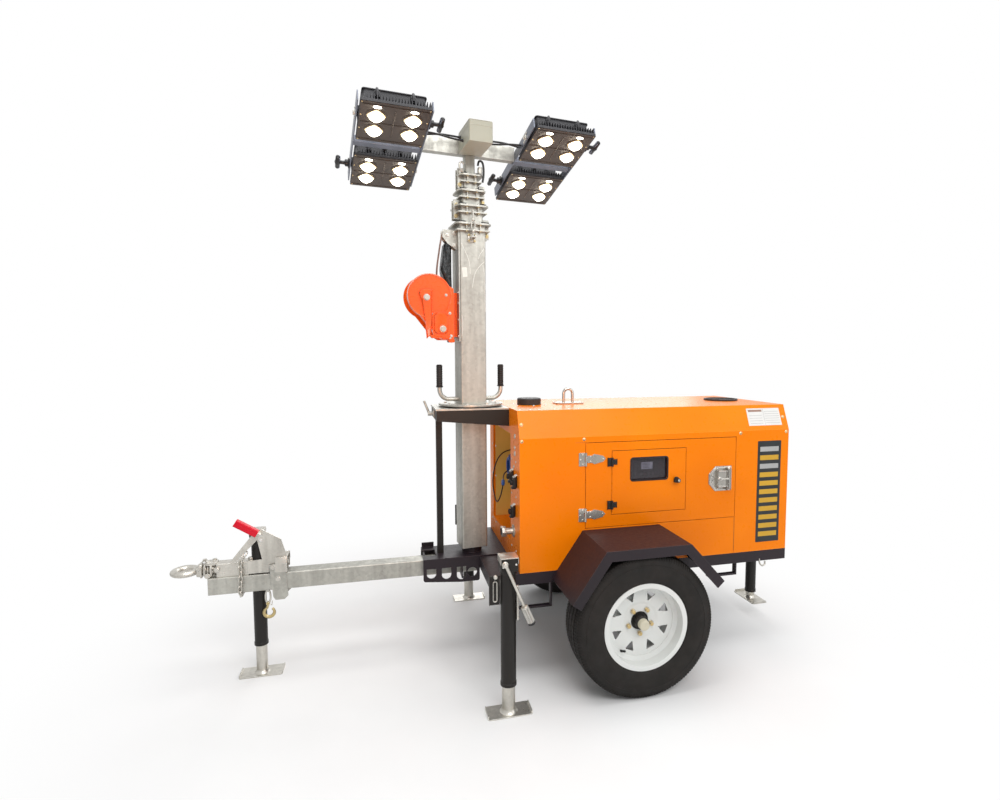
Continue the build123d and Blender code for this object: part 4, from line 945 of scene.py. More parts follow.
lamp = {
    "plane": 2.455,
    "tilt": radians(15),
    "reachX": 0.387,
    "reachY": 0.192,
    "width": 0.296,
    "depth": 0.269,
    "ledX": 0.077,
    "ledY": 0.05,
    "ledRadius": 0.03,
    "ledBulge": 0.02,
    "boxTop": 0.089,
    "pivotHeight": 0.034,
    "barX": 0.153,
    "barSheet": 0.005,
}
lampPlaces = [
    # name, along the crossbar, side, side of its handle, body
    ("front_near", 1, 1, -1, "lamp_1"),
    ("front_far", 1, -1, 1, "lamp_2"),
    ("rear_near", -1, 1, -1, "lamp_3"),
    ("rear_far", -1, -1, 1, "lamp_4"),
]


def lampFrame(along, side=0):
    # the tilted plane of a lamp pair: +Y up the slope and +Z away from the light
    centre = mast @ moveBy(along * lamp["reachX"], 0, lamp["plane"])
    return centre @ Matrix.Rotation(lamp["tilt"], 4, "X") @ moveBy(0, side * lamp["reachY"], 0)


def softDiamond(faces, at, power=1.5, gain=1.12):
    # draws a turned form in towards a diamond with soft sides
    back = at.inverted()
    for vert in {vert for face in faces for vert in face.verts}:
        local = back @ vert.co
        reach = hypot(local.x, local.y)
        if reach > 1e-6:
            share = (abs(local.x / reach) ** power + abs(local.y / reach) ** power) ** (1 / power)
            vert.co = at @ Vector((local.x * gain / share, local.y * gain / share, local.z))


def makeLampDress(name, along, side, body):
    at = lampFrame(along, side)
    down = at @ turnBy(180, "X")
    shape = Shape()
    outline = roundedOutline(lamp["width"] - 0.006, lamp["depth"] - 0.006, 0.006, 3)
    shape.prism(outline, 0.0016, down, 1, 0.0005, 1)
    # moulded ribs between the lights, and a raised rim round the plate
    shape.box((-0.0012, -0.09, 0.0016), (0.0012, 0.09, 0.0036), down, 1, 0.0006, 1)
    for y in (-0.118, -0.002, 0.116):
        shape.box((-0.138, y, 0.0016), (0.138, y + 0.0018, 0.003), down, 1, 0.0004, 1)
    for sx in (-1, 1):
        for sy in (-1, 1):
            spot = down @ moveBy(sx * lamp["ledX"], sy * lamp["ledY"], 0.0014)
            r = lamp["ledRadius"]
            shape.lathe(
                [(r + 0.012, 0), (r + 0.012, 0.002), (r + 0.004, 0.0046), (r + 0.001, 0.0046)], spot, 32, 1)
            halo = shape.lathe([(r + 0.006, 0.0022), (r + 0.003, 0.0048), (r - 0.001, 0.0054)], spot, 32, 3)
            softDiamond(halo, spot)
            bulge = lamp["ledBulge"]
            dome = [(r * cos(radians(a)), 0.0036 + bulge * sin(radians(a))) for a in range(0, 90, 15)]
            softDiamond(shape.lathe(dome + [(0, 0.0036 + bulge)], spot, 32, 2), spot)
        glint = down @ moveBy(sx * lamp["ledX"], -0.104, 0.0014) @ Matrix.Diagonal((1, 0.42, 1, 1))
        shape.lathe([(0.017, 0), (0.017, 0.0022), (0.011, 0.0036), (0, 0.004)], glint, 24, 2)
    # driver box: two toggle clips on its near side, a rim and a cable gland
    for y in (-1, 1):
        for x in (-0.075, 0.075):
            edge = y * (lamp["depth"] / 2 - 0.037)
            clip = at @ moveBy(x, edge, 0.066)
            shape.box((-0.011, -0.006, -0.018), (0.011, 0.006, 0.012), clip, 0, 0.003)
            hook = [clip @ Vector((0, y * 0.008, z)) for z in (-0.016, -0.004, 0.01, 0.021)]
            shape.tube(hook, [0.006, 0.008, 0.008, 0.005], 10)
    topZ = lamp["boxTop"]
    for k in range(4):
        x = -0.09 + 0.06 * k
        shape.box((x - 0.002, -0.075, topZ - 0.001), (x + 0.002, 0.075, topZ + 0.004), at, 0, 0.001, 1)
    gland = at @ moveBy(0, -side * (lamp["depth"] / 2 - 0.04), 0.066)
    gland = gland @ turnBy(90 * side, "X")
    shape.lathe(
        [(0, 0), (0.012, 0), (0.012, 0.006), (0.009, 0.007), (0.009, 0.014), (0.006, 0.017), (0, 0.017)],
        gland, 12)
    shape.finish("lampDress_" + name, ["lampBlack", "lampFace", "ledGlow", "ledHalo"], body, "lamp_black", 28)
    down3 = down.to_3x3() @ Vector((0, 0, 1))
    spots = []
    for x in (-0.14, 0.14):
        for y in (-0.126, -0.045, 0.045, 0.126):
            spots.append((down @ Vector((x, y, 0.0014)), down3))
    domes("lampScrews_" + name, spots, "brass", body, "lamp_black", 0.0036, 0.0022)


def makeLampHandle(name, along, side, handleSide):
    # black T handle that clamps the lamp's tilt
    at = lampFrame(along, side) @ moveBy(
        handleSide * (lamp["barX"] + lamp["barSheet"]), 0, lamp["pivotHeight"])
    out = at @ turnBy(90 * handleSide, "Y")
    shape = Shape()
    shape.lathe(
        [
            (0, 0.0002), (0.024, 0.0002), (0.025, 0.003), (0.023, 0.006), (0.0165, 0.0075),
            (0.0165, 0.0185), (0.0145, 0.0205), (0.0095, 0.022), (0.0085, 0.03), (0.009, 0.046),
            (0.0125, 0.052)],
        out, 24)
    steps = [
        (-0.045, 0.006), (-0.0445, 0.0085), (-0.042, 0.0105), (-0.012, 0.0115), (0, 0.0145),
        (0.012, 0.0115), (0.042, 0.0105), (0.0445, 0.0085), (0.045, 0.006)]
    line = [out @ Vector((0, y, 0.054)) for y, r in steps]
    shape.tube(line, [r for y, r in steps], 16)
    shape.finish("lampHandle_" + name, ["handlePaint"], "mast_head", "lamp_black", 40)


def makeLampPivots(name, along, side, handleSide):
    # on the side that has no handle, a plain pivot bolt holds the lamp
    at = lampFrame(along, side)
    spots, plates = [], []
    for end in (-1, 1):
        outward = at.to_3x3() @ Vector((end, 0, 0))
        place = at @ Vector((end * (lamp["barX"] + lamp["barSheet"]), 0, lamp["pivotHeight"]))
        if end != handleSide:
            spots.append((place, outward))
        for y in (-0.018, 0.018):
            plates.append((place + at.to_3x3() @ Vector((0, y, -0.013 if y < 0 else 0.013)), outward))
    fasteners("pivotBolts_" + name, spots, "brightZinc", "mast_head", "lamp_bar", 0.011, 0.009, 0.017)
    fasteners("barBolts_" + name, plates, "brightZinc", "mast_head", "lamp_bar", 0.0042, 0.0036, 0.007)


for name, along, side, handleSide, body in lampPlaces:
    makeLampDress(name, along, side, body)
    makeLampHandle(name, along, side, handleSide)
    makeLampPivots(name, along, side, handleSide)

junction = {"high": 2.568, "middle": 0.12, "lid": (0.112, 0.2), "seam": (0.1135, 0.2015)}


def makeJunctionBox():
    # lid with a step and four corner screws
    shape = Shape()
    lid = roundedOutline(*junction["lid"], 0.008, 4, (0, junction["middle"]))
    at = mast @ moveBy(0, 0, junction["high"] - 0.0005)
    shape.prism(lid, 0.003, at, 0, 0.0012)
    seam = roundedOutline(*junction["seam"], 0.008, 4, (0, junction["middle"]))
    shape.prism(seam, 0.0022, mast @ moveBy(0, 0, junction["high"] - 0.022), 0, 0.0006, 1)
    shape.finish("junctionLid", ["boxPaint"], "mast_head", "box_grey", 30)
    up = Vector((0, 0, 1))
    spots = []
    for x in (-0.047, 0.047):
        for y in (0.031, 0.209):
            spots.append((mast @ Vector((x, y, junction["high"] + 0.0022)), up))
    domes("junctionScrews", spots, "roofPaint", "mast_head", "box_grey", 0.0042, 0.0016)


makeJunctionBox()
print("lamps made")

# Mast collars and what is fastened to them

collars = [
    # tube, collar plate, underside of the plate, side of its sheave, body
    (0.13, 0.178, 2.134, -1, "mast_base"),
    (0.11, 0.158, 2.221, 1, "mast_2"),
    (0.09, 0.138, 2.295, -1, "mast_3"),
    (0.07, 0.116, 2.371, 1, "mast_4"),
]
collarFit = {
    "sheet": 0.008, "pad": (0.044, 0.016, 0.009), "flangeDrop": 0.03, "guardHalf": 0.023,
    "studRadius": 0.0032}


def onMast(x, y, z):
    return mast @ Vector((x, y, z))


def mastWay(x, y, z):
    return mast.to_3x3() @ Vector((x, y, z))


def makeCollarDress(index, tube, collar, low, side, body):
    top = low + collarFit["sheet"]
    length, width, height = collarFit["pad"]
    padHalf = min(length / 2, tube * 0.22)
    shape = Shape()
    for face in (-1, 1):
        for end in (-1, 1):
            at = mast @ moveBy(end * (collar / 2 - padHalf - 0.01), face * (tube / 2 + 0.004), top - 0.0005)
            shape.box((-padHalf, -width / 2, 0), (padHalf, width / 2, height), at, 0, 0.002)
            across = mast @ moveBy(
                face * (tube / 2 + 0.004), end * (collar / 2 - padHalf - 0.012), top - 0.0005)
            if face != side:
                shape.box((-width / 2, -padHalf, 0), (width / 2, padHalf, height), across, 0, 0.002)
    shape.finish(f"collarPads{index}", ["blackPlastic"], body, "galvanised", 30)

    studs = Shape()
    heads, nuts, under = [], [], []
    places = [(sx * tube * 0.26, sy * (collar / 2 - 0.011)) for sx in (-1, 1) for sy in (-1, 1)]
    for x, y in places:
        studs.tube([onMast(x, y, low - 0.036), onMast(x, y, top + 0.001)], collarFit["studRadius"], 8)
        heads.append((onMast(x, y, top), mastWay(0, 0, 1)))
        under.append((onMast(x, y, low - collarFit["flangeDrop"]), mastWay(0, 0, -1)))
        nuts.append((onMast(x, y, low), mastWay(0, 0, -1)))
    studs.finish(f"collarStuds{index}", ["brightZinc"], body, "galvanised", 40)
    fasteners(f"collarBolts{index}", heads, "brightZinc", body, "galvanised", 0.0062, 0.0045, 0.0088)
    fasteners(f"collarNuts{index}", nuts + under, "yellowZinc", body, "galvanised", 0.006, 0.005, 0.0085)

    # the sheave's axle ends and the bolts through its guard
    guard = []
    for face in (-1, 1):
        y = face * collarFit["guardHalf"]
        way = mastWay(0, face, 0)
        guard.append((onMast(side * (tube / 2 + 0.013), y, low + 0.014), way))
        guard.append((onMast(side * (tube / 2 + 0.017), y, low - 0.04), way))
    fasteners(f"sheaveBolts{index}", guard, "yellowZinc", body, "galvanised", 0.0075, 0.0055, 0.0105)


for index, entry in enumerate(collars):
    makeCollarDress(index, *entry)

turnbuckle = {"x": 0.007, "y": 0.097, "bottom": 2.052, "bodyLow": 2.098, "bodyHigh": 2.152, "top": 2.194}


def makeTurnbuckle():
    # it stands in front of the lowest collar, on a lug of the near face
    x, y = turnbuckle["x"], turnbuckle["y"]
    low, high = turnbuckle["bodyLow"], turnbuckle["bodyHigh"]
    shape = Shape()
    at = mast @ moveBy(x, 0.0648, turnbuckle["bottom"])
    shape.box((-0.019, 0, 0), (0.019, 0.005, 0.04), at, 0, 0.002)
    for end in (-1, 1):
        shape.box((end * 0.008 - 0.002, 0.004, 0.01), (end * 0.008 + 0.002, 0.04, 0.032), at, 0, 0.0015, 1)
    pin = [onMast(x - 0.014, y, 2.073), onMast(x + 0.014, y, 2.073)]
    shape.tube(pin, 0.0045)
    shape.tube([onMast(x, y, 2.07), onMast(x, y, low + 0.006)], 0.0042, 10)
    shape.tube([onMast(x, y, high - 0.006), onMast(x, y, turnbuckle["top"])], 0.0042, 10)
    hook = [
        (x, y, turnbuckle["top"] - 0.002), (x, y - 0.004, turnbuckle["top"] + 0.004),
        (x, y - 0.016, turnbuckle["top"] + 0.003)]
    shape.tube([onMast(*p) for p in hook], 0.004, 10)
    for end in (-1, 1):
        rail = [
            (0, low), (0.007, low + 0.007), (0.0085, low + 0.016), (0.0085, high - 0.016),
            (0.007, high - 0.007), (0, high)]
        shape.tube([onMast(x + end * dx, y, z) for dx, z in rail], 0.0036, 10)
    for z in (low, high):
        collar = mast @ moveBy(x, y, z - 0.006)
        shape.lathe(barrel(0.0085, 0.012, 0.002, 0.0015), collar, 16)
    shape.finish("turnbuckle", ["brightZinc"], "mast_base", "galvanised", 40)
    spots = [
        (onMast(x + dx, 0.0698, turnbuckle["bottom"] + dz), mastWay(0, 1, 0)) for dx in (-0.014, 0.014)
        for dz in (0.006, 0.034)]
    fasteners("turnbuckleBolts", spots, "yellowZinc", "mast_base", "galvanised", 0.0052, 0.0045, 0.007)


makeTurnbuckle()


def makeLocks():
    # bent spring handles that lock the top section in its collar
    black = Shape()
    line = [(-0.055, 0.05, 2.345), (-0.06, 0.05, 2.375), (-0.061, 0.048, 2.412), (-0.057, 0.046, 2.438),
            (-0.047, 0.045, 2.447), (-0.038, 0.044, 2.442), (-0.034, 0.042, 2.424)]
    black.tube(smoothPath([onMast(*p) for p in line], 5), 0.0052)
    black.finish("lockHandle", ["handlePaint"], "mast_4", "galvanised", 40)
    zinc = Shape()
    line = [(0.03, 0.04, 2.38), (0.048, 0.044, 2.392), (0.058, 0.046, 2.408), (0.056, 0.046, 2.426),
            (0.045, 0.044, 2.432), (0.036, 0.042, 2.424)]
    zinc.tube(smoothPath([onMast(*p) for p in line], 5), 0.0045)
    zinc.box((-0.012, -0.01, 0), (0.012, 0.01, 0.026), mast @ moveBy(0.046, 0.03, 2.379), 0, 0.003)
    zinc.box((-0.01, -0.012, 0), (0.01, 0.012, 0.04), mast @ moveBy(-0.046, 0.034, 2.379), 0, 0.003)
    zinc.finish("lockLever", ["brightZinc"], "mast_4", "galvanised", 40)


makeLocks()

turntable = {"grip": (1.35, 1.462), "reach": 0.158, "gripRadius": 0.0155, "top": 1.268, "boltRing": 0.128}


def makeTurntableGrips():
    low, high = turntable["grip"]
    r = turntable["gripRadius"]
    ribs = 9
    profile = [(0, low - 0.001), (r + 0.001, low - 0.001), (r + 0.002, low + 0.004)]
    for k in range(ribs):
        z = low + 0.01 + k * (high - low - 0.022) / (ribs - 1)
        profile += [(r - 0.0012, z - 0.0035), (r, z - 0.002), (r, z + 0.002), (r - 0.0012, z + 0.0035)]
    profile += [(r, high - 0.006), (r - 0.004, high - 0.001), (0, high)]
    shape = Shape()
    for side in (-1, 1):
        shape.lathe(profile, mast @ moveBy(side * turntable["reach"], 0, 0), 24)
    shape.finish("turntableGrips", ["gripRubber"], "mast_base", "galvanised", 40)
    spots = []
    for k in range(8):
        angle = radians(22.5 + 45 * k)
        place = onMast(
            turntable["boltRing"] * cos(angle), turntable["boltRing"] * sin(angle), turntable["top"])
        spots.append((place, mastWay(0, 0, 1)))
    fasteners("turntableBolts", spots, "brightZinc", "mast_base", "galvanised", 0.008, 0.006, 0.0115)


makeTurntableGrips()
print("mast made")

# Winch, its strap and the bag behind it

winch = {
    "near": 0.068,
    "hub": (0.213, 1.789),
    "cover": 0.104,
    "gear": (0.164, 1.655),
    "gearSize": (0.082, 0.116),
    "gearSheet": 0.012,
    "right": 0.099,
    "bottom": 1.582,
}


def winchFace(x, z, y):
    # a matrix on the winch's near face: X forward along the mast's x, Y up, Z outward
    return frameAt(onMast(x, y, z), mastWay(0, 1, 0))


def makeWinchDress():
    face = winch["near"]
    hubX, hubZ = winch["hub"]
    gearX, gearZ = winch["gear"]
    shape = Shape()
    # rolled rim of the drum cover and the pressed arm that holds the hub
    rim = [
        (winch["cover"] - 0.004, 0), (winch["cover"] + 0.0005, 0.001), (winch["cover"], 0.0035),
        (winch["cover"] - 0.005, 0.0045)]
    shape.lathe(rim, winchFace(hubX, hubZ, face - 0.001), 64)
    arm = [
        (0.262, 1.8), (0.252, 1.812), (0.206, 1.812), (0.206, 1.7), (0.214, 1.6), (0.228, 1.592),
        (0.24, 1.69), (0.25, 1.77)]
    middle = winchFace(0, 0, face - 0.0005)
    toPlate = middle.inverted()
    outline = [tuple((toPlate @ onMast(x, face - 0.0005, z))[:2]) for x, z in arm]
    shape.prism(outline, 0.009, middle, 0, 0.004, 3)
    # the gear case stands out a second step, with a round boss for its shaft
    step = roundedOutline(winch["gearSize"][0] - 0.018, winch["gearSize"][1] - 0.022, 0.018, 6)
    shape.prism(
        step, 0.007, winchFace(gearX, gearZ + 0.004, face + winch["gearSheet"] - 0.0005), 0, 0.0035, 3)
    skirt = roundedOutline(0.092, 0.014, 0.006, 4)
    shape.prism(skirt, 0.01, winchFace(gearX + 0.002, winch["bottom"] + 0.014, face - 0.0005), 0, 0.003)
    boss = winchFace(0.157, 1.632, face + winch["gearSheet"] + 0.006)
    shape.lathe([(0.022, -0.001), (0.022, 0.003), (0.019, 0.006), (0, 0.006)], boss, 28)
    ear = roundedOutline(0.03, 0.016, 0.006, 4)
    shape.prism(ear, 0.03, winchFace(winch["right"] + 0.012, winch["bottom"] - 0.005, face - 0.03), 0, 0.002)
    shape.finish("winchDress", ["winchPaint"], "mast_base", "winch_orange", 35)

    out = mastWay(0, 1, 0)
    big = [
        (onMast(0.23, face + 0.008, 1.78), out),
        (onMast(0.157, face + winch["gearSheet"] + 0.0115, 1.632), out)]
    fasteners("winchHubBolts", big, "brightZinc", "mast_base", "winch_orange", 0.0125, 0.011, 0.0155)
    small = []
    for x, z in (
        (0.118, 1.708), (0.208, 1.704), (0.118, 1.592), (0.208, 1.596), (0.135, 1.794), (0.112, 1.6)
    ):
        small.append((onMast(x, face, z), out))
    fasteners("winchScrews", small, "brightZinc", "mast_base", "winch_orange", 0.0052, 0.0042, 0.0072)
    edge = []
    for z in (1.6, 1.68, 1.76, 1.81):
        edge.append((onMast(0.0712, 0.052, z), mastWay(1, 0, 0)))
    fasteners("mountScrews", edge, "brightZinc", "mast_base", "galvanised", 0.005, 0.004, 0.007)


def strapAlong(shape, line, width, thick):
    rows = []
    for i, (x, y, z) in enumerate(line):
        before, after = line[max(0, i - 1)], line[min(len(line) - 1, i + 1)]
        ahead = Vector((after[0] - before[0], 0, after[2] - before[2])).normalized()
        out = Vector((ahead.z, 0, -ahead.x)) * thick / 2
        wide = Vector((0, width / 2, 0))
        middle = Vector((x, y, z))
        rows.append(
            shape.ring(
                [onMast(*(middle + a * out + b * wide)) for a, b in ((-1, -1), (-1, 1), (1, 1), (1, -1))]))
    shape.loft(rows)
    shape.cap(rows)


strapLine = [
    (0.1, 0.0, 2.101), (0.115, 0.0, 2.1075), (0.128, 0.0, 2.103), (0.1365, 0.0, 2.09), (0.14, -0.001, 2.074),
    (0.146, -0.002, 2.045), (0.154, -0.005, 1.99), (0.1605, -0.008, 1.943), (0.164, -0.01, 1.89),
    (0.165, -0.011, 1.84), (0.164, -0.012, 1.789),
]


def makeStrap():
    shape = Shape()
    strapAlong(shape, [tuple(p) for p in smoothPath(strapLine, 4)], 0.034, 0.0022)
    hubX, hubZ = winch["hub"]
    coil = frameAt(onMast(hubX, -0.012, hubZ), mastWay(0, 1, 0))
    shape.lathe(
        [
            (0.0352, -0.0205), (0.05, -0.0205), (0.0508, -0.019), (0.0508, 0.019), (0.05, 0.0205),
            (0.0352, 0.0205)],
        coil, 48)
    shape.finish("liftStrap", ["strapWebbing"], "mast_base", "galvanised", 40)


def makePulleyDress():
    spots = []
    for face in (-1, 1):
        spots.append((onMast(0.115, face * 0.024, 2.086), mastWay(0, face, 0)))
        spots.append((onMast(0.082, face * 0.024, 2.098), mastWay(0, face, 0)))
        spots.append((onMast(0.082, face * 0.024, 2.04), mastWay(0, face, 0)))
    fasteners("pulleyBolts", spots, "brightZinc", "mast_base", "galvanised", 0.0075, 0.006, 0.0105)


makeWinchDress()
makeStrap()
makePulleyDress()


bagForm = {"low": 1.836, "high": 2.044, "drop": 0.208, "rows": 22, "steps": 36, "seed": 5, "sheet": 0.0008}


def makeBag():
    # an open pouch of thin sheet behind the strap, folded flat at its sides
    low, high = bagForm["low"], bagForm["high"]
    rows, steps = bagForm["rows"], bagForm["steps"]
    rng = random.Random(bagForm["seed"])
    waves = [(rng.uniform(2, 7), rng.uniform(0, 6.28), rng.uniform(10, 60)) for _ in range(6)]
    shape = Shape()
    grid = []
    for j in range(rows + 1):
        t = j / rows
        z = low + (high - low) * t
        belly = 0.062 * sin(pi * min(1.0, 0.18 + 0.82 * (1 - t) ** 0.8)) ** 0.5
        front = 0.093 + max(0.02, min(belly, 0.036 + 0.03 * (1 - t)))
        row = []
        for i in range(steps):
            turn = 2 * pi * i / steps
            c, s = cos(turn), sin(turn)
            x = (0.093 + front) / 2 + (front - 0.093) / 2 * copysign(abs(c) ** 0.5, c)
            y = -0.015 + 0.036 * copysign(abs(s) ** 0.5, s)
            fold = sum(sin(k * turn + p + w * z) for k, p, w in waves) / len(waves)
            size = 1 + 0.1 * fold * (1 if c > -0.4 else 0.2)
            row.append(
                (
                    0.0955 + (x - 0.0955) * size, -0.015 + (y + 0.015) * (1 + 0.06 * fold),
                    z + 0.006 * fold * t))
        grid.append(shape.ring([onMast(*p) for p in row]))
    shape.loft(grid)
    bag = shape.finish("cableBag", ["bagSheet"], "mast_base", "bag_black", 60, ["cable_bag"])
    wall = bag.modifiers.new("wall", "SOLIDIFY")
    wall.thickness = bagForm["sheet"]
    wall.offset = 0
    softer = bag.modifiers.new("softer", "SUBSURF")
    softer.levels = softer.render_levels = 1
    return bag


scuffs = [
    # x and z down each pale mark, on the mast's near face
    [(-0.058, 2.06), (-0.056, 2.028), (-0.036, 1.998), (-0.026, 1.974)],
    [(0.058, 2.046), (0.04, 2.01), (0.02, 1.96), (0.014, 1.902)],
    [(-0.056, 1.962), (-0.03, 1.936), (-0.008, 1.9), (0.004, 1.836)],
    [(-0.05, 1.946), (-0.058, 1.88), (-0.059, 1.8), (-0.06, 1.72)],
    [(0.058, 1.7), (0.054, 1.66), (0.058, 1.6)],
]


def makeScuffs():
    # faint rubbed marks, a film thick
    shape = Shape()
    face = 0.065
    for line in scuffs:
        places = smoothPath([(x, face, z) for x, z in line], 6)
        for start, end in zip(places, places[1:]):
            at = frameAt(onMast(*start), mastWay(*(end - start)), mastWay(0, 1, 0))
            shape.box((-0.0014, -0.0001, -0.0002), (0.0014, 0.0002, (end - start).length + 0.0002), at)
    patch = frameAt(onMast(0.042, face, 1.908), mastWay(0, 1, 0), mastWay(0.08, 0, 1))
    shape.prism(roundedOutline(0.024, 0.046, 0.003, 3), 0.0002, patch)
    shape.finish("mastScuffs", ["rubbedZinc"], "mast_base", "galvanised", 30)


makeScuffs()
bag = makeBag()
print("winch made")

# Canopy: screws, hinges, latch, hatch window and its controller, seams, a plate and a label

canopy = {
    "chamfer": 1.129,
    "roof": roofZ,
    "roofHalf": 0.326,
    "screwLine": 1.117,
}
chamferWay = Vector((0, 0.124, 0.05)).normalized()


def onSide(x, z, out=0.0):
    # a place on the left side, x from the axle
    return Vector((axleX + x, sideY + out, z))


def onChamfer(x, share):
    # share runs from the chamfer's lower edge to the roof
    low = Vector((axleX + x, sideY, canopy["chamfer"]))
    high = Vector((axleX + x, canopy["roofHalf"], canopy["roof"]))
    return low.lerp(high, share)


def mirrored(spots):
    return spots + [(Vector((p.x, -p.y, p.z)), Vector((w[0], -w[1], w[2]))) for p, w in spots]


def makeCanopyScrews():
    left = Vector((0, 1, 0))
    spots = [(onSide(x, canopy["screwLine"]), left) for x in (0.488, 0.19, -0.64, -0.905)]
    spots += [(onChamfer(x, 0.5), chamferWay) for x in (0.484, -0.901)]
    domes("canopyScrews", mirrored(spots), "brass", "chassis", "stainless", 0.0068, 0.0044, 0.0078)
    up = Vector((0, 0, 1))
    roof = [(x, y) for y in (0.3, -0.3) for x in (0.478, 0.43, 0.387, 0.311, 0.241, 0.196)]
    roof += [(0.361 + 0.088 * cos(k), 0.088 * sin(k)) for k in (0.6, 1.6, 2.6, 3.7, 4.7, 5.7)]
    spots = [(Vector((axleX + x, y, canopy["roof"])), up) for x, y in roof]
    spots += [
        (Vector((axleX + 0.149 + x, y, canopy["roof"] + 0.008)), up) for x in (-0.06, 0.06)
        for y in (-0.034, 0.034)]
    domes("roofScrews", spots, "brightZinc", "chassis", "stainless", 0.0062, 0.0036, 0.0072)


def makeHinges():
    left = Vector((0, 1, 0))
    fixed, moving = [], []
    for z in (0.758, 1.022):
        for dx, dz in ((0.016, 0.022), (0.028, 0.0), (0.016, -0.022)):
            fixed.append((onSide(0.18 + dx, z + dz, 0.003), left))
        for dx, dz in ((-0.022, 0.011), (-0.022, -0.011), (-0.084, 0.0)):
            moving.append((onSide(0.18 + dx, z + dz, 0.003), left))
    domes("hingeScrewsFixed", mirrored(fixed), "brightZinc", "chassis", "stainless", 0.0042, 0.0022)
    right = [(Vector((p.x, -p.y, p.z)), Vector((0, -1, 0))) for p, _ in moving]
    domes("hingeScrewsLeft", moving, "brightZinc", "left_door", "stainless", 0.0042, 0.0022)
    domes("hingeScrewsRight", right, "brightZinc", "right_door", "stainless", 0.0042, 0.0022)


hatch = {
    "front": 0.048, "hingeZ": (0.798, 1.004), "knob": (-0.287, 0.901),
    "window": (-0.242, -0.045, 0.906, 1.019)}


def makeHatchHinges():
    # black moulded butt hinges, half on the door and half on the hatch
    door, lid = Shape(), Shape()
    for z in hatch["hingeZ"]:
        outer = frameAt(onSide(hatch["front"] + 0.0022, z), (0, 1, 0))
        # the frame's X points to the rear on this side
        door.box((-0.0225, -0.0205, -0.0005), (-0.0008, 0.0205, 0.005), outer, 0, 0.0018)
        for low, high in ((-0.0205, -0.0078), (0.0078, 0.0205)):
            knuckle = Matrix.Translation(onSide(hatch["front"] + 0.0015, z + low, 0.006))
            door.lathe(barrel(0.0056, high - low, 0.001, 0.0004), knuckle, 16)
        lid.box((0.0052, -0.013, 0.0002), (0.025, 0.013, 0.005), outer, 0, 0.0018)
        knuckle = Matrix.Translation(onSide(hatch["front"] + 0.0015, z - 0.0072, 0.006))
        lid.lathe(barrel(0.0056, 0.0144, 0.001, 0.0004), knuckle, 16)
    door.finish("hatchHingeDoor", ["blackPlastic"], "left_door", "panel_black", 35)
    lid.finish("hatchHingeLid", ["blackPlastic"], "control_hatch", "panel_black", 35)
    left = Vector((0, 1, 0))
    onDoor = [
        (onSide(hatch["front"] + 0.014, z + dz, 0.005), left) for z in hatch["hingeZ"]
        for dz in (-0.012, 0.012)]
    onLid = [
        (onSide(hatch["front"] - 0.014, z + dz, 0.005), left) for z in hatch["hingeZ"]
        for dz in (-0.007, 0.007)]
    domes("hatchHingeScrewsDoor", onDoor, "roofPaint", "left_door", "panel_black", 0.0026, 0.0012)
    domes("hatchHingeScrewsLid", onLid, "roofPaint", "control_hatch", "panel_black", 0.0026, 0.0012)


def makeKnob():
    x, z = hatch["knob"]
    at = frameAt(onSide(x, z), (0, 1, 0))
    shape = Shape()
    shape.lathe(
        [
            (0, 0), (0.0145, 0), (0.015, 0.003), (0.014, 0.0068), (0.01, 0.008), (0.0096, 0.02),
            (0.011, 0.0215), (0.011, 0.0262), (0.009, 0.0285), (0, 0.0285)],
        at, 28)
    # the wing that turns it
    shape.box((-0.024, -0.0055, 0.02), (0.002, 0.0055, 0.0265), at, 0, 0.0022)
    shape.lathe([(0.006, 0.028), (0.006, 0.03), (0.0048, 0.031), (0, 0.0312)], at, 20, 1)
    shape.box((-0.0042, -0.0008, 0.0308), (0.0042, 0.0008, 0.0316), at)
    shape.finish("hatchKnob", ["blackPlastic", "brightZinc"], "control_hatch", "panel_black", 35)


def frameRing(shape, width, height, radius, wall, depth, at, paint=0):
    # a rounded frame with a soft outer lip
    outer = roundedOutline(width, height, radius, 6)
    inner = roundedOutline(width - 2 * wall, height - 2 * wall, max(0.001, radius - wall), 6)
    lip = roundedOutline(width - wall * 0.5, height - wall * 0.5, radius, 6)
    rows = [shape.ring([at @ Vector((x, y, z)) for x, y in line]) for line, z in
            ((outer, 0), (outer, depth * 0.6), (lip, depth), (inner, depth * 0.8), (inner, -0.002))]
    for face in shape.loft(rows, True):
        face.material_index = paint


def makeWindow():
    x0, x1, z0, z1 = hatch["window"]
    at = frameAt(onSide((x0 + x1) / 2, (z0 + z1) / 2), (0, 1, 0))
    shape = Shape()
    frameRing(shape, x1 - x0 + 0.004, z1 - z0 + 0.004, 0.016, 0.0065, 0.0022, at, 0)
    shape.finish("windowGasket", ["gripRubber"], "control_hatch", "panel_black", 40)


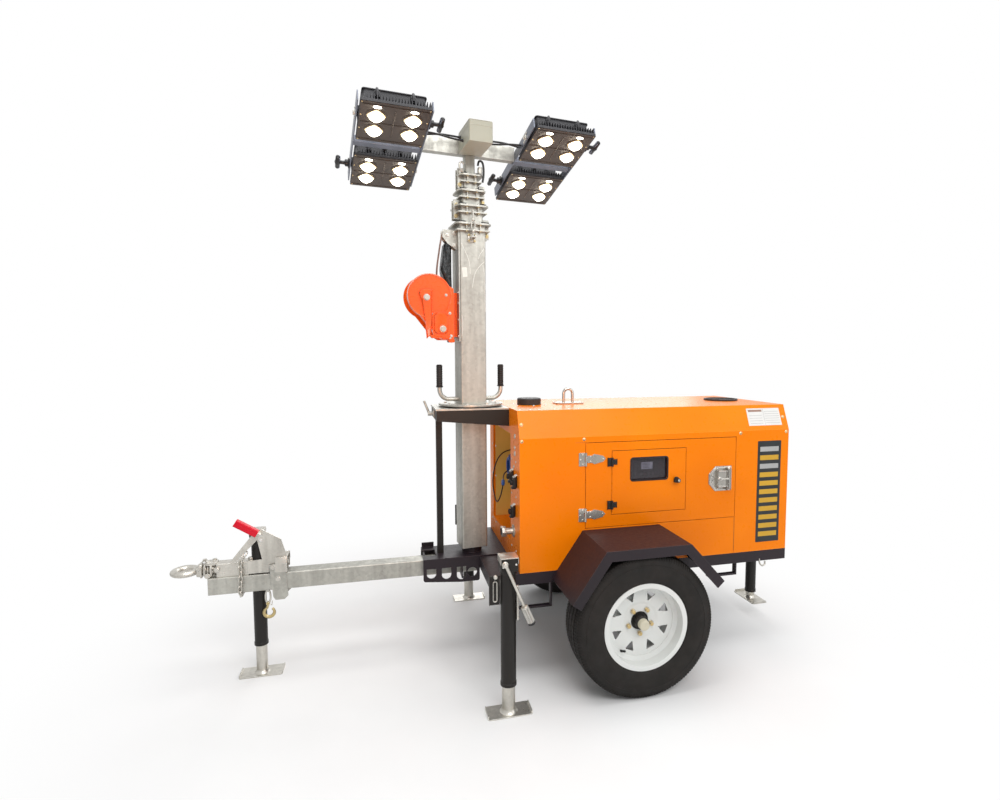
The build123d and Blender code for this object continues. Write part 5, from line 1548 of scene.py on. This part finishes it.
def makeController():
    # the controller on the tray's back wall, seen through the hatch window
    back = frameAt(onSide(-0.15, 0.952, -0.084), (0, 1, 0))
    shape = Shape()
    shape.prism(roundedOutline(0.22, 0.13, 0.008, 4), 0.018, back, 0, 0.002)
    face = back @ moveBy(0, 0, 0.018)
    shape.prism(roundedOutline(0.108, 0.088, 0.006, 4), 0.022, face, 0, 0.003)
    glass = face @ moveBy(0, 0.018, 0.022)
    frameRing(shape, 0.068, 0.042, 0.004, 0.004, 0.002, glass, 0)
    shape.box((-0.03, -0.017, 0), (0.03, 0.017, 0.0008), glass, 1)
    for k in range(4):
        shape.box(
            (-0.024, 0.01 - 0.007 * k, 0.0008), (0.01 + 0.004 * (k % 2), 0.0122 - 0.007 * k, 0.0012), glass)
    for k in range(4):
        button = face @ moveBy(-0.033 + 0.022 * k, -0.024, 0.022)
        shape.lathe(
            [(0, 0), (0.0062, 0), (0.0062, 0.0016), (0.005, 0.0028), (0, 0.0028)], button, 18, 2 + (k == 1))
    for k in range(2):
        light = face @ moveBy(-0.072, 0.02 - 0.034 * k, 0)
        shape.lathe([(0, 0), (0.0095, 0), (0.0095, 0.004), (0.006, 0.009), (0, 0.01)], light, 18, 3 - k)
    stop = face @ moveBy(0.078, 0.012, 0)
    shape.lathe(
        [(0, 0), (0.012, 0), (0.012, 0.006), (0.018, 0.01), (0.018, 0.016), (0.012, 0.02), (0, 0.02)], stop,
        24, 3)
    shape.finish(
        "controller", ["blackPlastic", "screenGlow", "labelWhite", "redPlastic"], "left_door",
        "panel_black", 35)


latch = {
    "x": -0.527,
    "z": 0.894,
    "plate": [
        (-0.06, -0.023), (-0.06, 0.023), (-0.0265, 0.059), (0.06, 0.059), (0.06, -0.059), (-0.0265, -0.059)],
    "rivets": [
        (-0.046, 0.02), (-0.046, -0.02), (-0.018, 0.05), (-0.018, -0.05), (0.053, 0.052), (0.053, -0.052)],
}


def makeLatch(side, body):
    # folding T handle in a pressed stainless dish
    turn = toSide(side)
    at = turn @ frameAt(onSide(latch["x"], latch["z"], 0.003), (0, 1, 0))
    shape = Shape()
    # X of this frame points to the rear
    plate = latch["plate"]
    inner = [(x * 0.88 + 0.001, y * 0.88) for x, y in plate]
    rows = [
        shape.ring([at @ Vector((x, y, z)) for x, y in line])
        for line, z in ((plate, 0), (plate, 0.0025), (inner, 0.0052), (inner, 0.002))]
    shape.loft(rows, True)
    shape.box((-0.0215, -0.0415, 0), (0.0515, 0.0415, 0.0125), at, 0, 0.004, 3)
    # folded handle plate with turned ends, its bar, and the lock in the middle
    shape.box((-0.016, -0.036, 0.012), (0.03, 0.036, 0.0142), at, 0, 0.001, 1)
    shape.box((0.03, -0.0525, 0.001), (0.05, 0.0525, 0.0165), at, 0, 0.005, 3)
    for end in (-1, 1):
        shape.box((-0.018, end * 0.038 - 0.003, 0.01), (0.05, end * 0.038 + 0.003, 0.018), at, 0, 0.0022)
    bar = [at @ Vector((0.041, y, 0.0185)) for y in (-0.05, -0.03, 0.0, 0.03, 0.05)]
    shape.tube(bar, [0.0042, 0.0052, 0.0056, 0.0052, 0.0042])
    shape.tube([at @ Vector((x, 0, 0.017)) for x in (0.04, 0.02, -0.004)], 0.0048)
    lock = at @ moveBy(-0.008, 0, 0.014)
    shape.lathe([(0, 0), (0.0125, 0), (0.0125, 0.003), (0.0105, 0.0045), (0.01, 0.006), (0, 0.006)], lock, 28)
    shape.box((-0.006, -0.001, 0.0055), (0.006, 0.001, 0.0066), lock, 1)
    shape.lathe([(0.0095, 0.0022), (0.011, 0.003), (0.0095, 0.004)], at @ moveBy(-0.043, 0.002, 0), 20)
    shape.finish("doorLatch" + body, ["stainless", "roofPaint"], body, "stainless", 30)
    out = Vector((0, side, 0))
    spots = [(at @ Vector((x, y, 0.0046)), out) for x, y in latch["rivets"]]
    domes("latchRivets" + body, spots, "brightZinc", body, "stainless", 0.0034, 0.002)


def makeSeams():
    # folded joints between the canopy's sheets
    shape = Shape()
    for side in (-1, 1):
        y = side * (sideY + 0.0002)
        low, high = sorted((y, y - side * 0.002))
        shape.box((axleX - 0.6146, low, 0.52), (axleX - 0.6134, high, 0.69), paint=0)
        shape.box((axleX + 0.184, low, 1.101), (axleX + 0.232, high, 1.102), paint=0)
    shape.finish("sheetSeams", ["roofPaint"], "chassis", "roof_dark", 30)


plate = {"x": (-0.877, -0.741), "z": (0.55, 1.073), "sheet": 0.0009}


def makeSidePlate():
    # dark plate with plain bars across it
    x0, x1 = plate["x"]
    z0, z1 = plate["z"]
    at = frameAt(onSide((x0 + x1) / 2, (z0 + z1) / 2), (0, 1, 0))
    width, height = x1 - x0, z1 - z0
    shape = Shape()
    shape.prism(roundedOutline(width, height, 0.003, 3), plate["sheet"], at)
    bars = 11
    pitch = (height - 0.04) / bars
    for k in range(bars):
        y = -height / 2 + 0.02 + pitch * (k + 0.5)
        grey = k in (bars - 1, bars - 3)
        reach = width / 2 - 0.014
        shape.box(
            (-reach, y - pitch * 0.28, plate["sheet"] - 0.0002),
            (reach, y + pitch * 0.28, plate["sheet"] + 0.0004), at, 2 if grey else 1)
    shape.finish("sidePlate", ["plateDark", "plateGold", "plateGrey"], "chassis", "canopy_orange", 30)


label = {"front": -0.694, "rear": -0.886, "low": 0.18, "high": 0.86}


def makeLabel():
    # blank white label with faint ruled boxes
    corners = [
        onChamfer(x, share)
        for x, share in (
            (label["front"], label["low"]), (label["front"], label["high"]), (label["rear"], label["high"]),
            (label["rear"], label["low"]))]
    across, up = corners[3] - corners[0], corners[1] - corners[0]
    shape = Shape()

    def slab(a0, a1, b0, b1, lift, paint):
        base = [
            corners[0] + across * a + up * b + chamferWay * lift
            for a, b in ((a0, b0), (a1, b0), (a1, b1), (a0, b1))]
        top = [p + chamferWay * 0.0004 for p in base]
        low, high = shape.ring(base), shape.ring(top)
        for face in [shape.bm.faces.new(low), shape.bm.faces.new(high)] + shape.bridge(low, high):
            face.material_index = paint

    slab(0, 1, 0, 1, 0.0, 0)
    slab(0.5 - 0.004, 0.5 + 0.004, 0.04, 0.96, 0.0002, 1)
    for k in range(6):
        level = 0.14 + 0.13 * k
        slab(0.53, 0.96, level, level + 0.02, 0.0002, 1)
    slab(0.05, 0.46, 0.8, 0.92, 0.0002, 2)
    for k in range(4):
        level = 0.12 + 0.15 * k
        slab(0.06, 0.44, level, level + 0.02, 0.0002, 1)
    shape.finish("ruledLabel", ["labelWhite", "plateGrey", "strapWebbing"], "chassis", "canopy_orange", 30)


makeCanopyScrews()
makeHinges()
makeHatchHinges()
makeKnob()
makeWindow()
makeController()
makeLatch(1, "left_door")
makeLatch(-1, "right_door")
makeSeams()
makeSidePlate()
makeLabel()
print("canopy made")

# Front strip: sockets with sprung lids, small discs, the pipe stub and the two inlets in the bay

front = {
    "x": axleX + 0.498,
    "bayBack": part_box("power_sockets")[0].x,
    "sockets": [(0.238, 0.936), (0.312, 0.922), (0.275, 0.776)],
    "discs": [(0.283, 1.129, 0.012), (0.283, 1.076, 0.009), (0.282, 1.048, 0.013), (0.263, 0.982, 0.008)],
    "pipe": (0.25, 0.67),
}


def makeSockets():
    shape = Shape()
    for y, z in front["sockets"]:
        at = frameAt((front["x"], y, z), (1, 0, 0))
        shape.box((-0.015, -0.028, 0), (0.015, 0.022, 0.02), at, 0, 0.003)
        shape.box((-0.011, -0.034, 0.004), (0.011, -0.024, 0.026), at, 0, 0.003)
        collar = [
            (0, 0.018), (0.0115, 0.018), (0.013, 0.021), (0.013, 0.029), (0.0098, 0.031), (0.0098, 0.024),
            (0, 0.024)]
        shape.lathe(collar, at @ moveBy(0, -0.004, 0), 24)
        # sprung lid, held open above the mouth
        lid = at @ moveBy(0, 0.02, 0.016) @ turnBy(-62, "X")
        shape.prism(roundedOutline(0.026, 0.03, 0.01, 4, (0, 0.015)), 0.0035, lid, 1, 0.001, 1)
        shape.tube([at @ Vector((s, 0.02, 0.016)) for s in (-0.014, 0.014)], 0.0028, 10, 1)
    x0 = front["bayBack"]
    for y, z, radius, reach, paint in ((-0.15, 0.905, 0.042, 0.062, 2), (0.04, 0.905, 0.036, 0.055, 3)):
        at = frameAt((x0, y, z), (1, 0, 0))
        shape.prism(roundedOutline(radius * 2.3, radius * 2.3, 0.01, 4), 0.006, at, 0, 0.001, 1)
        body = [
            (radius, 0.005), (radius, reach - 0.012), (radius + 0.008, reach - 0.009),
            (radius + 0.008, reach), (radius + 0.002, reach + 0.002), (radius - 0.006, reach),
            (radius - 0.007, 0.02), (0, 0.02)]
        shape.lathe(body, at, 36, paint)
        for k in range(5):
            turn = 2 * pi * k / 5
            pin = at @ moveBy(radius * 0.45 * cos(turn), radius * 0.45 * sin(turn), 0.018)
            shape.lathe(
                [(0, 0), (0.0035, 0), (0.0035, reach * 0.45), (0.002, reach * 0.47), (0, reach * 0.47)],
                pin, 10, 1)
        lid = at @ moveBy(0, radius + 0.006, reach - 0.003) @ turnBy(-70, "X")
        shape.prism(
            roundedOutline(radius * 2, radius * 2, radius * 0.9, 8, (0, radius)), 0.006, lid,
            1 if paint == 3 else paint, 0.0015)
    y, z = front["pipe"]
    at = frameAt((front["x"], y, z), (1, 0, 0))
    shape.lathe([(0.03, 0.0), (0.03, 0.004), (0.0165, 0.006), (0.0155, 0.01), (0.0155, 0.042)], at, 28, 1)
    shape.prism([(0.0245 * cos(pi * k / 3), 0.0245 * sin(pi * k / 3)) for k in range(6)], 0.02,
                at @ moveBy(0, 0, 0.04), 1, 0.002)
    shape.lathe([(0.0175, 0.06), (0.0175, 0.0625), (0.014, 0.0625), (0.0135, 0.0605), (0, 0.0605)], at, 24)
    names = ["blackPlastic", "brightZinc", "bluePlastic", "redPlastic"]
    shape.finish("frontSockets", names, "chassis", "panel_black", 35, ["power_sockets"])
    discs = Shape()
    for y, z, radius in front["discs"]:
        at = frameAt((front["x"], y, z), (1, 0, 0))
        discs.lathe(
            [
                (0, 0), (radius, 0), (radius, 0.002), (radius * 0.84, 0.0036), (radius * 0.5, 0.0036),
                (radius * 0.42, 0.0052), (0, 0.0056)],
            at, 28)
    discs.finish("stripDiscs", ["brightZinc"], "chassis", "stainless", 35)


def makeBayLiner():
    # pale sheet that lines the bay
    x0, x1 = front["bayBack"], front["x"]
    shape = Shape()
    shape.box((x0 + 0.0002, -0.28, 0.6), (x0 + 0.0012, 0.18, 1.13), paint=0)
    shape.box((x0 + 0.001, 0.1788, 0.6), (x1 - 0.012, 0.1798, 1.13), paint=0)
    shape.box((x0 + 0.001, -0.2798, 0.6), (x1 - 0.012, -0.2788, 1.13), paint=0)
    shape.finish("bayLiner", ["bayPaint"], "chassis", "canopy_orange", 30)


def makeStripScrews():
    way = Vector((1, 0, 0))
    spots = [(Vector((front["x"], y, z)), way) for y in (0.3, 0.205) for z in (0.585, 0.845, 1.01)]
    domes("stripScrews", mirrored(spots), "brightZinc", "chassis", "stainless", 0.0055, 0.003)


makeSockets()
makeBayLiner()
makeStripScrews()
print("front made")

# Coupling: tow ring, brake lever, clamp bolts, safety chain and hook

eyeLow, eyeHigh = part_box("tow_eye")
coupling = {
    "end": eyeHigh.x,
    "eyeZ": (eyeLow.z + eyeHigh.z) / 2,
    "hole": 0.0285,
    "ring": 0.017,
    "near": 0.0466,
}


def onBar(x, z, y=0.0):
    # x is metres back from the ring's tip
    return Vector((coupling["end"] - x, y, z))


def makeTowEye():
    shape = Shape()
    hole, ring = coupling["hole"], coupling["ring"]
    at = Matrix.Translation(onBar(0.0625, coupling["eyeZ"]))
    profile = []
    for k in range(21):
        turn = 2 * pi * k / 20 + pi
        profile.append((hole + ring + ring * cos(turn), 0.0138 * sin(turn)))
    profile[-1] = profile[0]
    shape.lathe(profile, at, 72)
    # forged shank, flange and rod behind the ring
    back = frameAt(onBar(0.096, coupling["eyeZ"]), (-1, 0, 0))
    rows = []
    for share, wide, high in (
        (0.0, 0.02, 0.012), (0.008, 0.0195, 0.0128), (0.014, 0.022, 0.016), (0.018, 0.03, 0.026),
        (0.04, 0.03, 0.028)
    ):
        rows.append(
            shape.ring(
                [
                    back @ Vector((x, y, share))
                    for x, y in roundedOutline(2 * wide, 2 * high, min(wide, high) * 0.6, 5)]))
    shape.loft(rows)
    shape.cap(rows)
    shape.lathe([(0.018, 0.038), (0.018, 0.15)], back, 28)
    shape.finish("towEye", ["brightZinc"], "chassis", "galvanised", 45, ["tow_eye"])


def makeNeckBand():
    # lugs, cap and cross bolts over the neck's bellows
    shape = Shape()
    z = coupling["eyeZ"]
    for x, size, lean in ((0.128, 0.034, 8), (0.15, 0.032, -6), (0.172, 0.034, 5)):
        at = frameAt(onBar(x, z), (-1, 0, 0)) @ turnBy(lean, "Y")
        outline = roundedOutline(2 * size, 2 * size, size * 0.7, 6)
        inner = roundedOutline(2 * size - 0.01, 2 * size - 0.01, size * 0.6, 6)
        rows = [shape.ring([at @ Vector((px, py, d)) for px, py in line]) for line, d in
                ((inner, -0.004), (outline, -0.0035), (outline, 0.0035), (inner, 0.004))]
        shape.loft(rows, True)
    shape.box((-0.026, 0.024, 0.092), (0.026, 0.038, 0.136), frameAt(onBar(0.06, z), (-1, 0, 0)), 0, 0.003)
    shape.finish("neckBands", ["brightZinc"], "chassis", "galvanised", 40)
    left, up = Vector((0, 1, 0)), Vector((0, 0, 1))
    spots = [
        (onBar(0.2, z + 0.006, 0.0335), left), (onBar(0.126, z + 0.02, 0.033), left),
        (onBar(0.16, z - 0.02, 0.033), left)]
    spots += [(onBar(x, z + 0.037, y), up) for x, y in ((0.16, 0.015), (0.182, -0.012), (0.14, -0.015))]
    fasteners("neckBolts", spots, "brightZinc", "chassis", "galvanised", 0.0095, 0.0085, 0.0125)


def makeLeverDress():
    # red grip sleeve over the lever, and the pivots and nuts of its bracket
    start, end = onBar(0.378, 0.685, 0.045), onBar(0.286, 0.7445, 0.045)
    way = end - start
    grip = Shape()
    at = frameAt(start, way, (0, 1, 0))
    grip.prism(roundedOutline(0.033, 0.031, 0.005, 4), way.length, at, 0, 0.0022)
    for k in (0.3, 0.7):
        dimple = at @ moveBy(0, 0.0156, way.length * k) @ turnBy(-90, "X")
        grip.lathe([(0.005, 0), (0.0046, 0.0006), (0.003, 0.0002), (0, 0.0001)], dimple, 16)
    grip.finish("brakeGrip", ["gripRed"], "chassis", "winch_orange", 35)
    left = Vector((0, 1, 0))
    rivets = [(onBar(0.386, 0.679, 0.042), left), (onBar(0.388, 0.651, 0.0365), left)]
    domes("leverRivets", rivets, "labelWhite", "chassis", "galvanised", 0.0075, 0.0042, 0.0085)
    nuts = [(onBar(0.459, 0.466, coupling["near"]), left), (onBar(0.44, 0.522, coupling["near"]), left)]
    fasteners("clampBolts", mirrored(nuts), "brightZinc", "chassis", "galvanised", 0.009, 0.007, 0.013)
    up = Vector((0, 0, 1))
    tops = [(onBar(0.34, 0.553, 0.01), up), (onBar(0.365, 0.553, -0.014), up)]
    fasteners("linkBolts", tops, "brightZinc", "chassis", "galvanised", 0.013, 0.015, 0.018)
    shape = Shape()
    # link block and its bearer behind the upper tube, and the folded saddle over the bar
    shape.box((onBar(0.426, 0, 0).x, -0.022, 0.5), (onBar(0.388, 0, 0).x, 0.026, 0.56), paint=1, bevel=0.004)
    shape.box(
        (onBar(0.388, 0, 0).x, -0.024, 0.492), (onBar(0.332, 0, 0).x, 0.024, 0.553), paint=0, bevel=0.004)
    saddle = [
        (0.046, 0.496), (0.048, 0.534), (0.043, 0.566), (-0.043, 0.566), (-0.048, 0.534), (-0.046, 0.496),
        (-0.041, 0.496), (-0.043, 0.533), (-0.0395, 0.561), (0.0395, 0.561), (0.043, 0.533), (0.041, 0.496)]
    at = frameAt(onBar(0.448, 0), (-1, 0, 0))
    shape.prism([(-y, z) for y, z in saddle], 0.052, at, 0, 0.0015)
    shape.finish("clampSaddle", ["brightZinc", "labelWhite"], "chassis", "galvanised", 35)


chain = {
    "pitch": 0.0215,
    "wire": 0.0034,
    "turnRadii": (0.0088, 0.008),
    "stretch": 0.0072,
    # metres back from the ring, height, and offset to the left
    "route": [
        (0.33, 0.606, 0.03), (0.32, 0.59, 0.046), (0.302, 0.556, 0.0465), (0.3, 0.52, 0.048),
        (0.301, 0.485, 0.05), (0.2985, 0.45, 0.05), (0.296, 0.415, 0.048), (0.298, 0.398, 0.03),
        (0.302, 0.396, 0.0),
    ],
}


def makeChain():
    # welded links, each turned a quarter from the last
    line = smoothPath([onBar(*place) for place in chain["route"]], 12)
    wide, tall = chain["turnRadii"]
    shape = Shape()
    gone, last = 0.0, line[0]
    places = []
    for point in line[1:]:
        step = (point - last).length
        gone += step
        if gone >= chain["pitch"]:
            places.append((point.copy(), (point - last).normalized()))
            gone = 0.0
        last = point
    for count, (place, way) in enumerate(places):
        at = frameAt(place, way, (0, 1, 0)) @ turnBy(45 + 90 * (count % 2), "Z")
        link = []
        for k in range(16):
            turn = 2 * pi * k / 16
            stretch = chain["stretch"] * copysign(1, sin(turn)) if abs(sin(turn)) > 0.01 else 0.0
            link.append(at @ Vector((wide * cos(turn), 0, tall * sin(turn) + stretch)))
        shape.tube(link, chain["wire"], 8, 0, True)
    shape.finish("safetyChain", ["brightZinc"], "chassis", "galvanised", 50)


hookForm = {
    "y": 0.03, "ring": (0.411, 0.378), "ringReach": (0.011, 0.032), "curl": (0.414, 0.302),
    "curlRadius": 0.0225}


def makeHook():
    shape = Shape()
    y = hookForm["y"]
    (midX, midZ), (wide, tall) = hookForm["ring"], hookForm["ringReach"]
    turns = [2 * pi * k / 24 for k in range(24)]
    ring = [onBar(midX + wide * cos(t), midZ + tall * sin(t), y) for t in turns]
    shape.tube(ring, 0.0042, 10, 1, True)
    (midX, midZ), reach = hookForm["curl"], hookForm["curlRadius"]
    curl = []
    for k in range(22):
        turn = radians(112 + 300 * k / 21)
        curl.append(onBar(midX + reach * cos(turn), midZ + reach * sin(turn), y))
    widths = [0.0046 + 0.003 * sin(pi * min(1.0, k / 19)) for k in range(22)]
    curl = [onBar(0.41, 0.342, y)] + curl
    shape.tube(curl, [0.006] + widths, 12, 0, False, 1.25)
    shape.lathe(
        [(0, -0.008), (0.0075, -0.008), (0.0085, -0.004), (0.0085, 0.004), (0.0075, 0.008), (0, 0.008)],
        frameAt(onBar(0.41, 0.346, y), (0, 1, 0)), 20)
    # sprung tongue across the hook's mouth
    shape.tube(
        [onBar(0.408, 0.344, y), onBar(0.426, 0.336, y), onBar(0.43, 0.356, y)], [0.004, 0.0032, 0.0018], 8,
        1)
    shape.finish("safetyHook", ["yellowZinc", "brightZinc"], "chassis", "galvanised", 50)
    down = Vector((0, 0, -1))
    fasteners("barBolts", [(onBar(0.411, 0.41, 0.03), down)], "brightZinc", "chassis",
              "galvanised", 0.008, 0.008, 0.011)


makeTowEye()
makeNeckBand()
makeLeverDress()
makeChain()
makeHook()
print("coupling made")

# Jacks: caps, cranks, weld rings and the fittings along the rails

def centreOf(node):
    low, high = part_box(node)
    return (low.x + high.x) / 2, (low.y + high.y) / 2


legX, legY = centreOf("corner_leg_left")
tongueX = centreOf("tongue_leg")[0]
rearX = centreOf("rear_leg")[0]
jackHeads = [
    # body, x, y, half width, top, radius of the outer tube, radius of the leg, foot, bottom of the tube
    ("left_jack", "left_jack_leg", legX, legY, 0.036, 0.675, 0.0325, 0.0281, 0.0, 0.121),
    ("right_jack", "right_jack_leg", legX, -legY, 0.036, 0.675, 0.0325, 0.0281, 0.0, 0.121),
    ("chassis", "tongue_jack_leg", tongueX, 0.0, 0.03, 0.695, 0.029, 0.0246, 0.0, 0.14),
    ("chassis", "rear_jack_leg", rearX, 0.0, 0.03, 0.645, 0.029, 0.0246, 0.078, 0.118),
]


def makeJackCaps():
    for k, (body, legBody, x, y, half, top, outer, leg, foot, low) in enumerate(jackHeads):
        shape = Shape()
        at = moveBy(x, y, top - 0.0008)
        size = 2 * half
        shape.prism(roundedOutline(size + 0.005, size + 0.005, 0.005, 4), 0.0032, at, 0, 0.001)
        shape.box((half - 0.0006, -half, -0.024), (half + 0.002, half, 0.001), at, 0, 0.0008, 1)
        shape.box((-half - 0.002, -half, -0.024), (-half + 0.0006, half, 0.001), at, 0, 0.0008, 1)
        shape.finish("jackCap%d" % k, ["brightZinc"], body, "galvanised", 35)
        collar = Shape()
        ring = [
            (outer - 0.001, low + 0.016), (outer + 0.002, low + 0.014), (outer + 0.002, low + 0.0005),
            (outer - 0.003, low + 0.0002)]
        collar.lathe(ring, moveBy(x, y, 0), 40)
        neck = top - 0.055
        collar.lathe(
            [
                (outer - 0.001, neck - 0.02), (outer + 0.004, neck - 0.01), (half + 0.0005, neck - 0.0008),
                (half - 0.01, neck + 0.001)],
            moveBy(x, y, 0), 40)
        collar.finish("jackCollar%d" % k, ["jackPaint"], body, "frame_black", 40)
        weld = Shape()
        bead = [
            (leg - 0.001, foot + 0.022), (leg + 0.0015, foot + 0.016), (leg + 0.0045, foot + 0.0095),
            (leg + 0.01, foot + 0.0055), (leg + 0.011, foot + 0.0045)]
        weld.lathe(bead, moveBy(x, y, 0), 44)
        weld.finish("footWeld%d" % k, ["brightZinc"], legBody, "galvanised", 60)


crank = {
    "face": 0.036,
    "standOff": 0.012,
    # x from the leg, and height
    "arm": [(0.022, 0.66), (-0.062, 0.462)],
    "grip": [(-0.058, 0.4715), (-0.0885, 0.4)],
    "gripRadius": 0.0146,
    "fluteDepth": 0.0011,
    "flutes": 14,
}


def makeCranks():
    for side, body in ((1, "left_jack"), (-1, "right_jack")):
        y = legY + crank["face"]
        turn = toSide(side)
        start, end = [Vector((legX + x, y + crank["standOff"], z)) for x, z in crank["arm"]]
        shape = Shape()
        shape.tube([turn @ p for p in (start, start.lerp(end, 0.5), end)], 0.0068, 16)
        hub = turn @ frameAt((legX + 0.02, y, 0.652), (0, 1, 0))
        shape.lathe(
            [
                (0, 0), (0.013, 0), (0.013, 0.004), (0.0098, 0.006), (0.0098, 0.0185), (0.008, 0.0205),
                (0, 0.0205)],
            hub, 28)
        gripStart, gripEnd = [Vector((legX + x, y + crank["standOff"], z)) for x, z in crank["grip"]]
        way = gripEnd - gripStart
        at = turn @ frameAt(gripStart, way, (0, 1, 0))
        flutes = []
        for k in range(56):
            angle = 2 * pi * k / 56
            radius = crank["gripRadius"] + crank["fluteDepth"] * cos(crank["flutes"] * angle)
            flutes.append((radius * cos(angle), radius * sin(angle)))
        shape.prism(flutes, way.length, at, 0, 0.0009, 1)
        shape.lathe([(0.015, -0.002), (0.016, 0.0), (0.016, 0.005), (0.0148, 0.007)], at, 28)
        tip = at @ moveBy(0, 0, way.length - 0.004)
        shape.lathe(
            [(0.014, 0), (0.0162, 0.001), (0.0162, 0.008), (0.014, 0.0105), (0.0085, 0.0105)], tip, 28, 1)
        shape.lathe([(0.009, 0.0095), (0.0085, 0.0115), (0, 0.0118)], tip, 20)
        shape.finish("jackCrank" + body, ["brightZinc", "blackPlastic"], body, "galvanised", 35)
        out = Vector((0, side, 0))
        spots = [(Vector((legX + dx, side * y, z)), out) for dx, z in ((0.027, 0.64), (-0.027, 0.648))]
        domes("jackScrews" + body, spots, "labelWhite", body, "galvanised", 0.0042, 0.0026)


def makeJackPlates():
    # a slotted keeper ahead of the tube and a notched strip behind it
    for side, body in ((1, "left_jack"), (-1, "right_jack")):
        shape = Shape()
        turn = toSide(side)
        ahead = turn @ frameAt((legX + 0.056, legY - 0.004, 0.532), (0, 1, 0))
        shape.box((-0.024, -0.062, -0.004), (0.019, 0.062, 0.004), ahead, 1, 0.002)
        frameRing(shape, 0.02, 0.09, 0.009, 0.004, 0.007, ahead @ moveBy(0, -0.004, 0.002), 0)
        shape.lathe(
            [(0, 0), (0.0085, 0), (0.0085, 0.008), (0.005, 0.01), (0, 0.01)],
            ahead @ moveBy(0.002, 0.058, 0.003), 18)
        behind = turn @ frameAt((legX - 0.035, legY + 0.01, 0.475), (0, 1, 0))
        shape.box((-0.0022, -0.074, -0.006), (0.006, 0.074, 0.006), behind, 0, 0.0015)
        for k in range(9):
            shape.box(
                (0.005, -0.068 + 0.016 * k, -0.005), (0.0085, -0.06 + 0.016 * k, 0.005), behind, 0, 0.001, 1
            )
        shape.finish("jackKeeper" + body, ["brightZinc", "jackPaint"], body, "galvanised", 35)


def makeTongueCrank():
    # folded crank on the drawbar jack's far side
    shape = Shape()
    y = -0.03
    line = [
        Vector((tongueX, y, 0.668)), Vector((tongueX, y - 0.03, 0.668)),
        Vector((tongueX - 0.01, y - 0.036, 0.655)), Vector((tongueX - 0.05, y - 0.036, 0.54))]
    shape.tube(smoothPath(line, 5), 0.0062)
    shape.tube([line[-1], line[-1] + Vector((0, -0.07, 0))], 0.011, 16, 1)
    shape.finish("tongueCrank", ["brightZinc", "blackPlastic"], "chassis", "galvanised", 40)


def makeRailFittings():
    hook = Shape()
    for side in (1, -1):
        place = Vector((axleX - 0.77, side * 0.372, 0.462))
        line = [
            place, place + Vector((0, side * 0.004, -0.02)), place + Vector((-0.01, side * 0.01, -0.036)),
            place + Vector((-0.026, side * 0.01, -0.03)), place + Vector((-0.028, side * 0.008, -0.014))]
        hook.tube(smoothPath(line, 5), 0.0042, 10)
    hook.finish("lashingHooks", ["brightZinc"], "chassis", "galvanised", 50)


makeJackCaps()
makeCranks()
makeJackPlates()
makeTongueCrank()
makeRailFittings()
print("jacks made")

# Cords: each curve takes the place of one packed cord


def makeCord(name, points, diameter, body, node):
    curve = bpy.data.curves.new(name, "CURVE")
    curve.dimensions = "3D"
    curve.bevel_depth = diameter / 2
    curve.bevel_resolution = 4
    curve.resolution_u = 16
    curve.use_fill_caps = True
    spline = curve.splines.new("NURBS")
    spline.points.add(len(points) - 1)
    for knot, point in zip(spline.points, points):
        knot.co = (*point, 1)
    spline.order_u = 3
    spline.use_endpoint_u = True
    curve.materials.append(materials["cableSheath"])
    piece = bpy.data.objects.new(name, curve)
    bpy.context.scene.collection.objects.link(piece)
    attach(piece, body)
    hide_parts(node)
    return piece


lampCables = {
    "diameter": 0.009,
    "far": [(0.056, 0.064, 2.538), (0.112, 0.064, 2.541), (0.172, 0.08, 2.534), (0.2276, 0.086, 2.522)],
    "near": [(0.056, 0.112, 2.508), (0.112, 0.112, 2.51), (0.172, 0.117, 2.52), (0.2276, 0.119, 2.521)],
}
lead = {
    "diameter": 0.0065,
    "route": [
        (0.378, -0.205, 0.99), (0.44, -0.203, 0.986), (0.492, -0.18, 0.95), (0.522, -0.14, 0.892),
        (0.54, -0.08, 0.836), (0.545, -0.01, 0.79), (0.545, 0.06, 0.76), (0.535, 0.1, 0.794),
        (0.515, 0.076, 0.85), (0.5, 0.006, 0.872), (0.484, -0.062, 0.876), (0.462, -0.118, 0.88),
        (0.4426, -0.15, 0.88),
    ],
}


def makeGland(name, place, way, body, radius):
    shape = Shape()
    at = frameAt(place, way)
    shape.lathe(
        [
            (0, -0.004), (radius * 1.6, -0.004), (radius * 1.6, 0.005), (radius * 1.35, 0.007),
            (radius * 1.2, 0.014), (radius * 0.98, 0.015)],
        at, 20)
    return shape.finish(name, ["blackPlastic"], body, "cable_black", 35)


def makeCords():
    for end, side in (("front", 1), ("rear", -1)):
        for place in ("far", "near"):
            route = [onMast(side * x, y, z) for x, y, z in lampCables[place]]
            name = "lampCable" + end.title() + place.title()
            gland = makeGland(name + "Gland", route[0], route[1] - route[0], "mast_head", 0.0045)
            makeCord(
                name, route, lampCables["diameter"], "mast_head", "lamp_cable_%s_%s" % (end, place)
            )
    route = [Vector((axleX + x, y, z)) for x, y, z in lead["route"]]
    radius = lead["diameter"] / 2
    shape = Shape()
    at = frameAt(route[8].lerp(route[9], 0.45), route[9] - route[8])
    shape.lathe(
        [
            (radius * 0.98, -0.026), (0.0062, -0.025), (0.0088, -0.016), (0.0095, -0.004), (0.0088, 0.002),
            (0.0095, 0.006), (0.0088, 0.018), (0.006, 0.025), (radius * 0.98, 0.026)],
        at, 24)
    connector = shape.finish("leadConnector", ["bluePlastic"], "chassis", "cable_black", 35)
    makeCord("leadLoop", route, lead["diameter"], "chassis", "lead_loop")


makeCords()
print("cords made")
scene = bpy.context.scene
scene.view_settings.view_transform = "Standard"
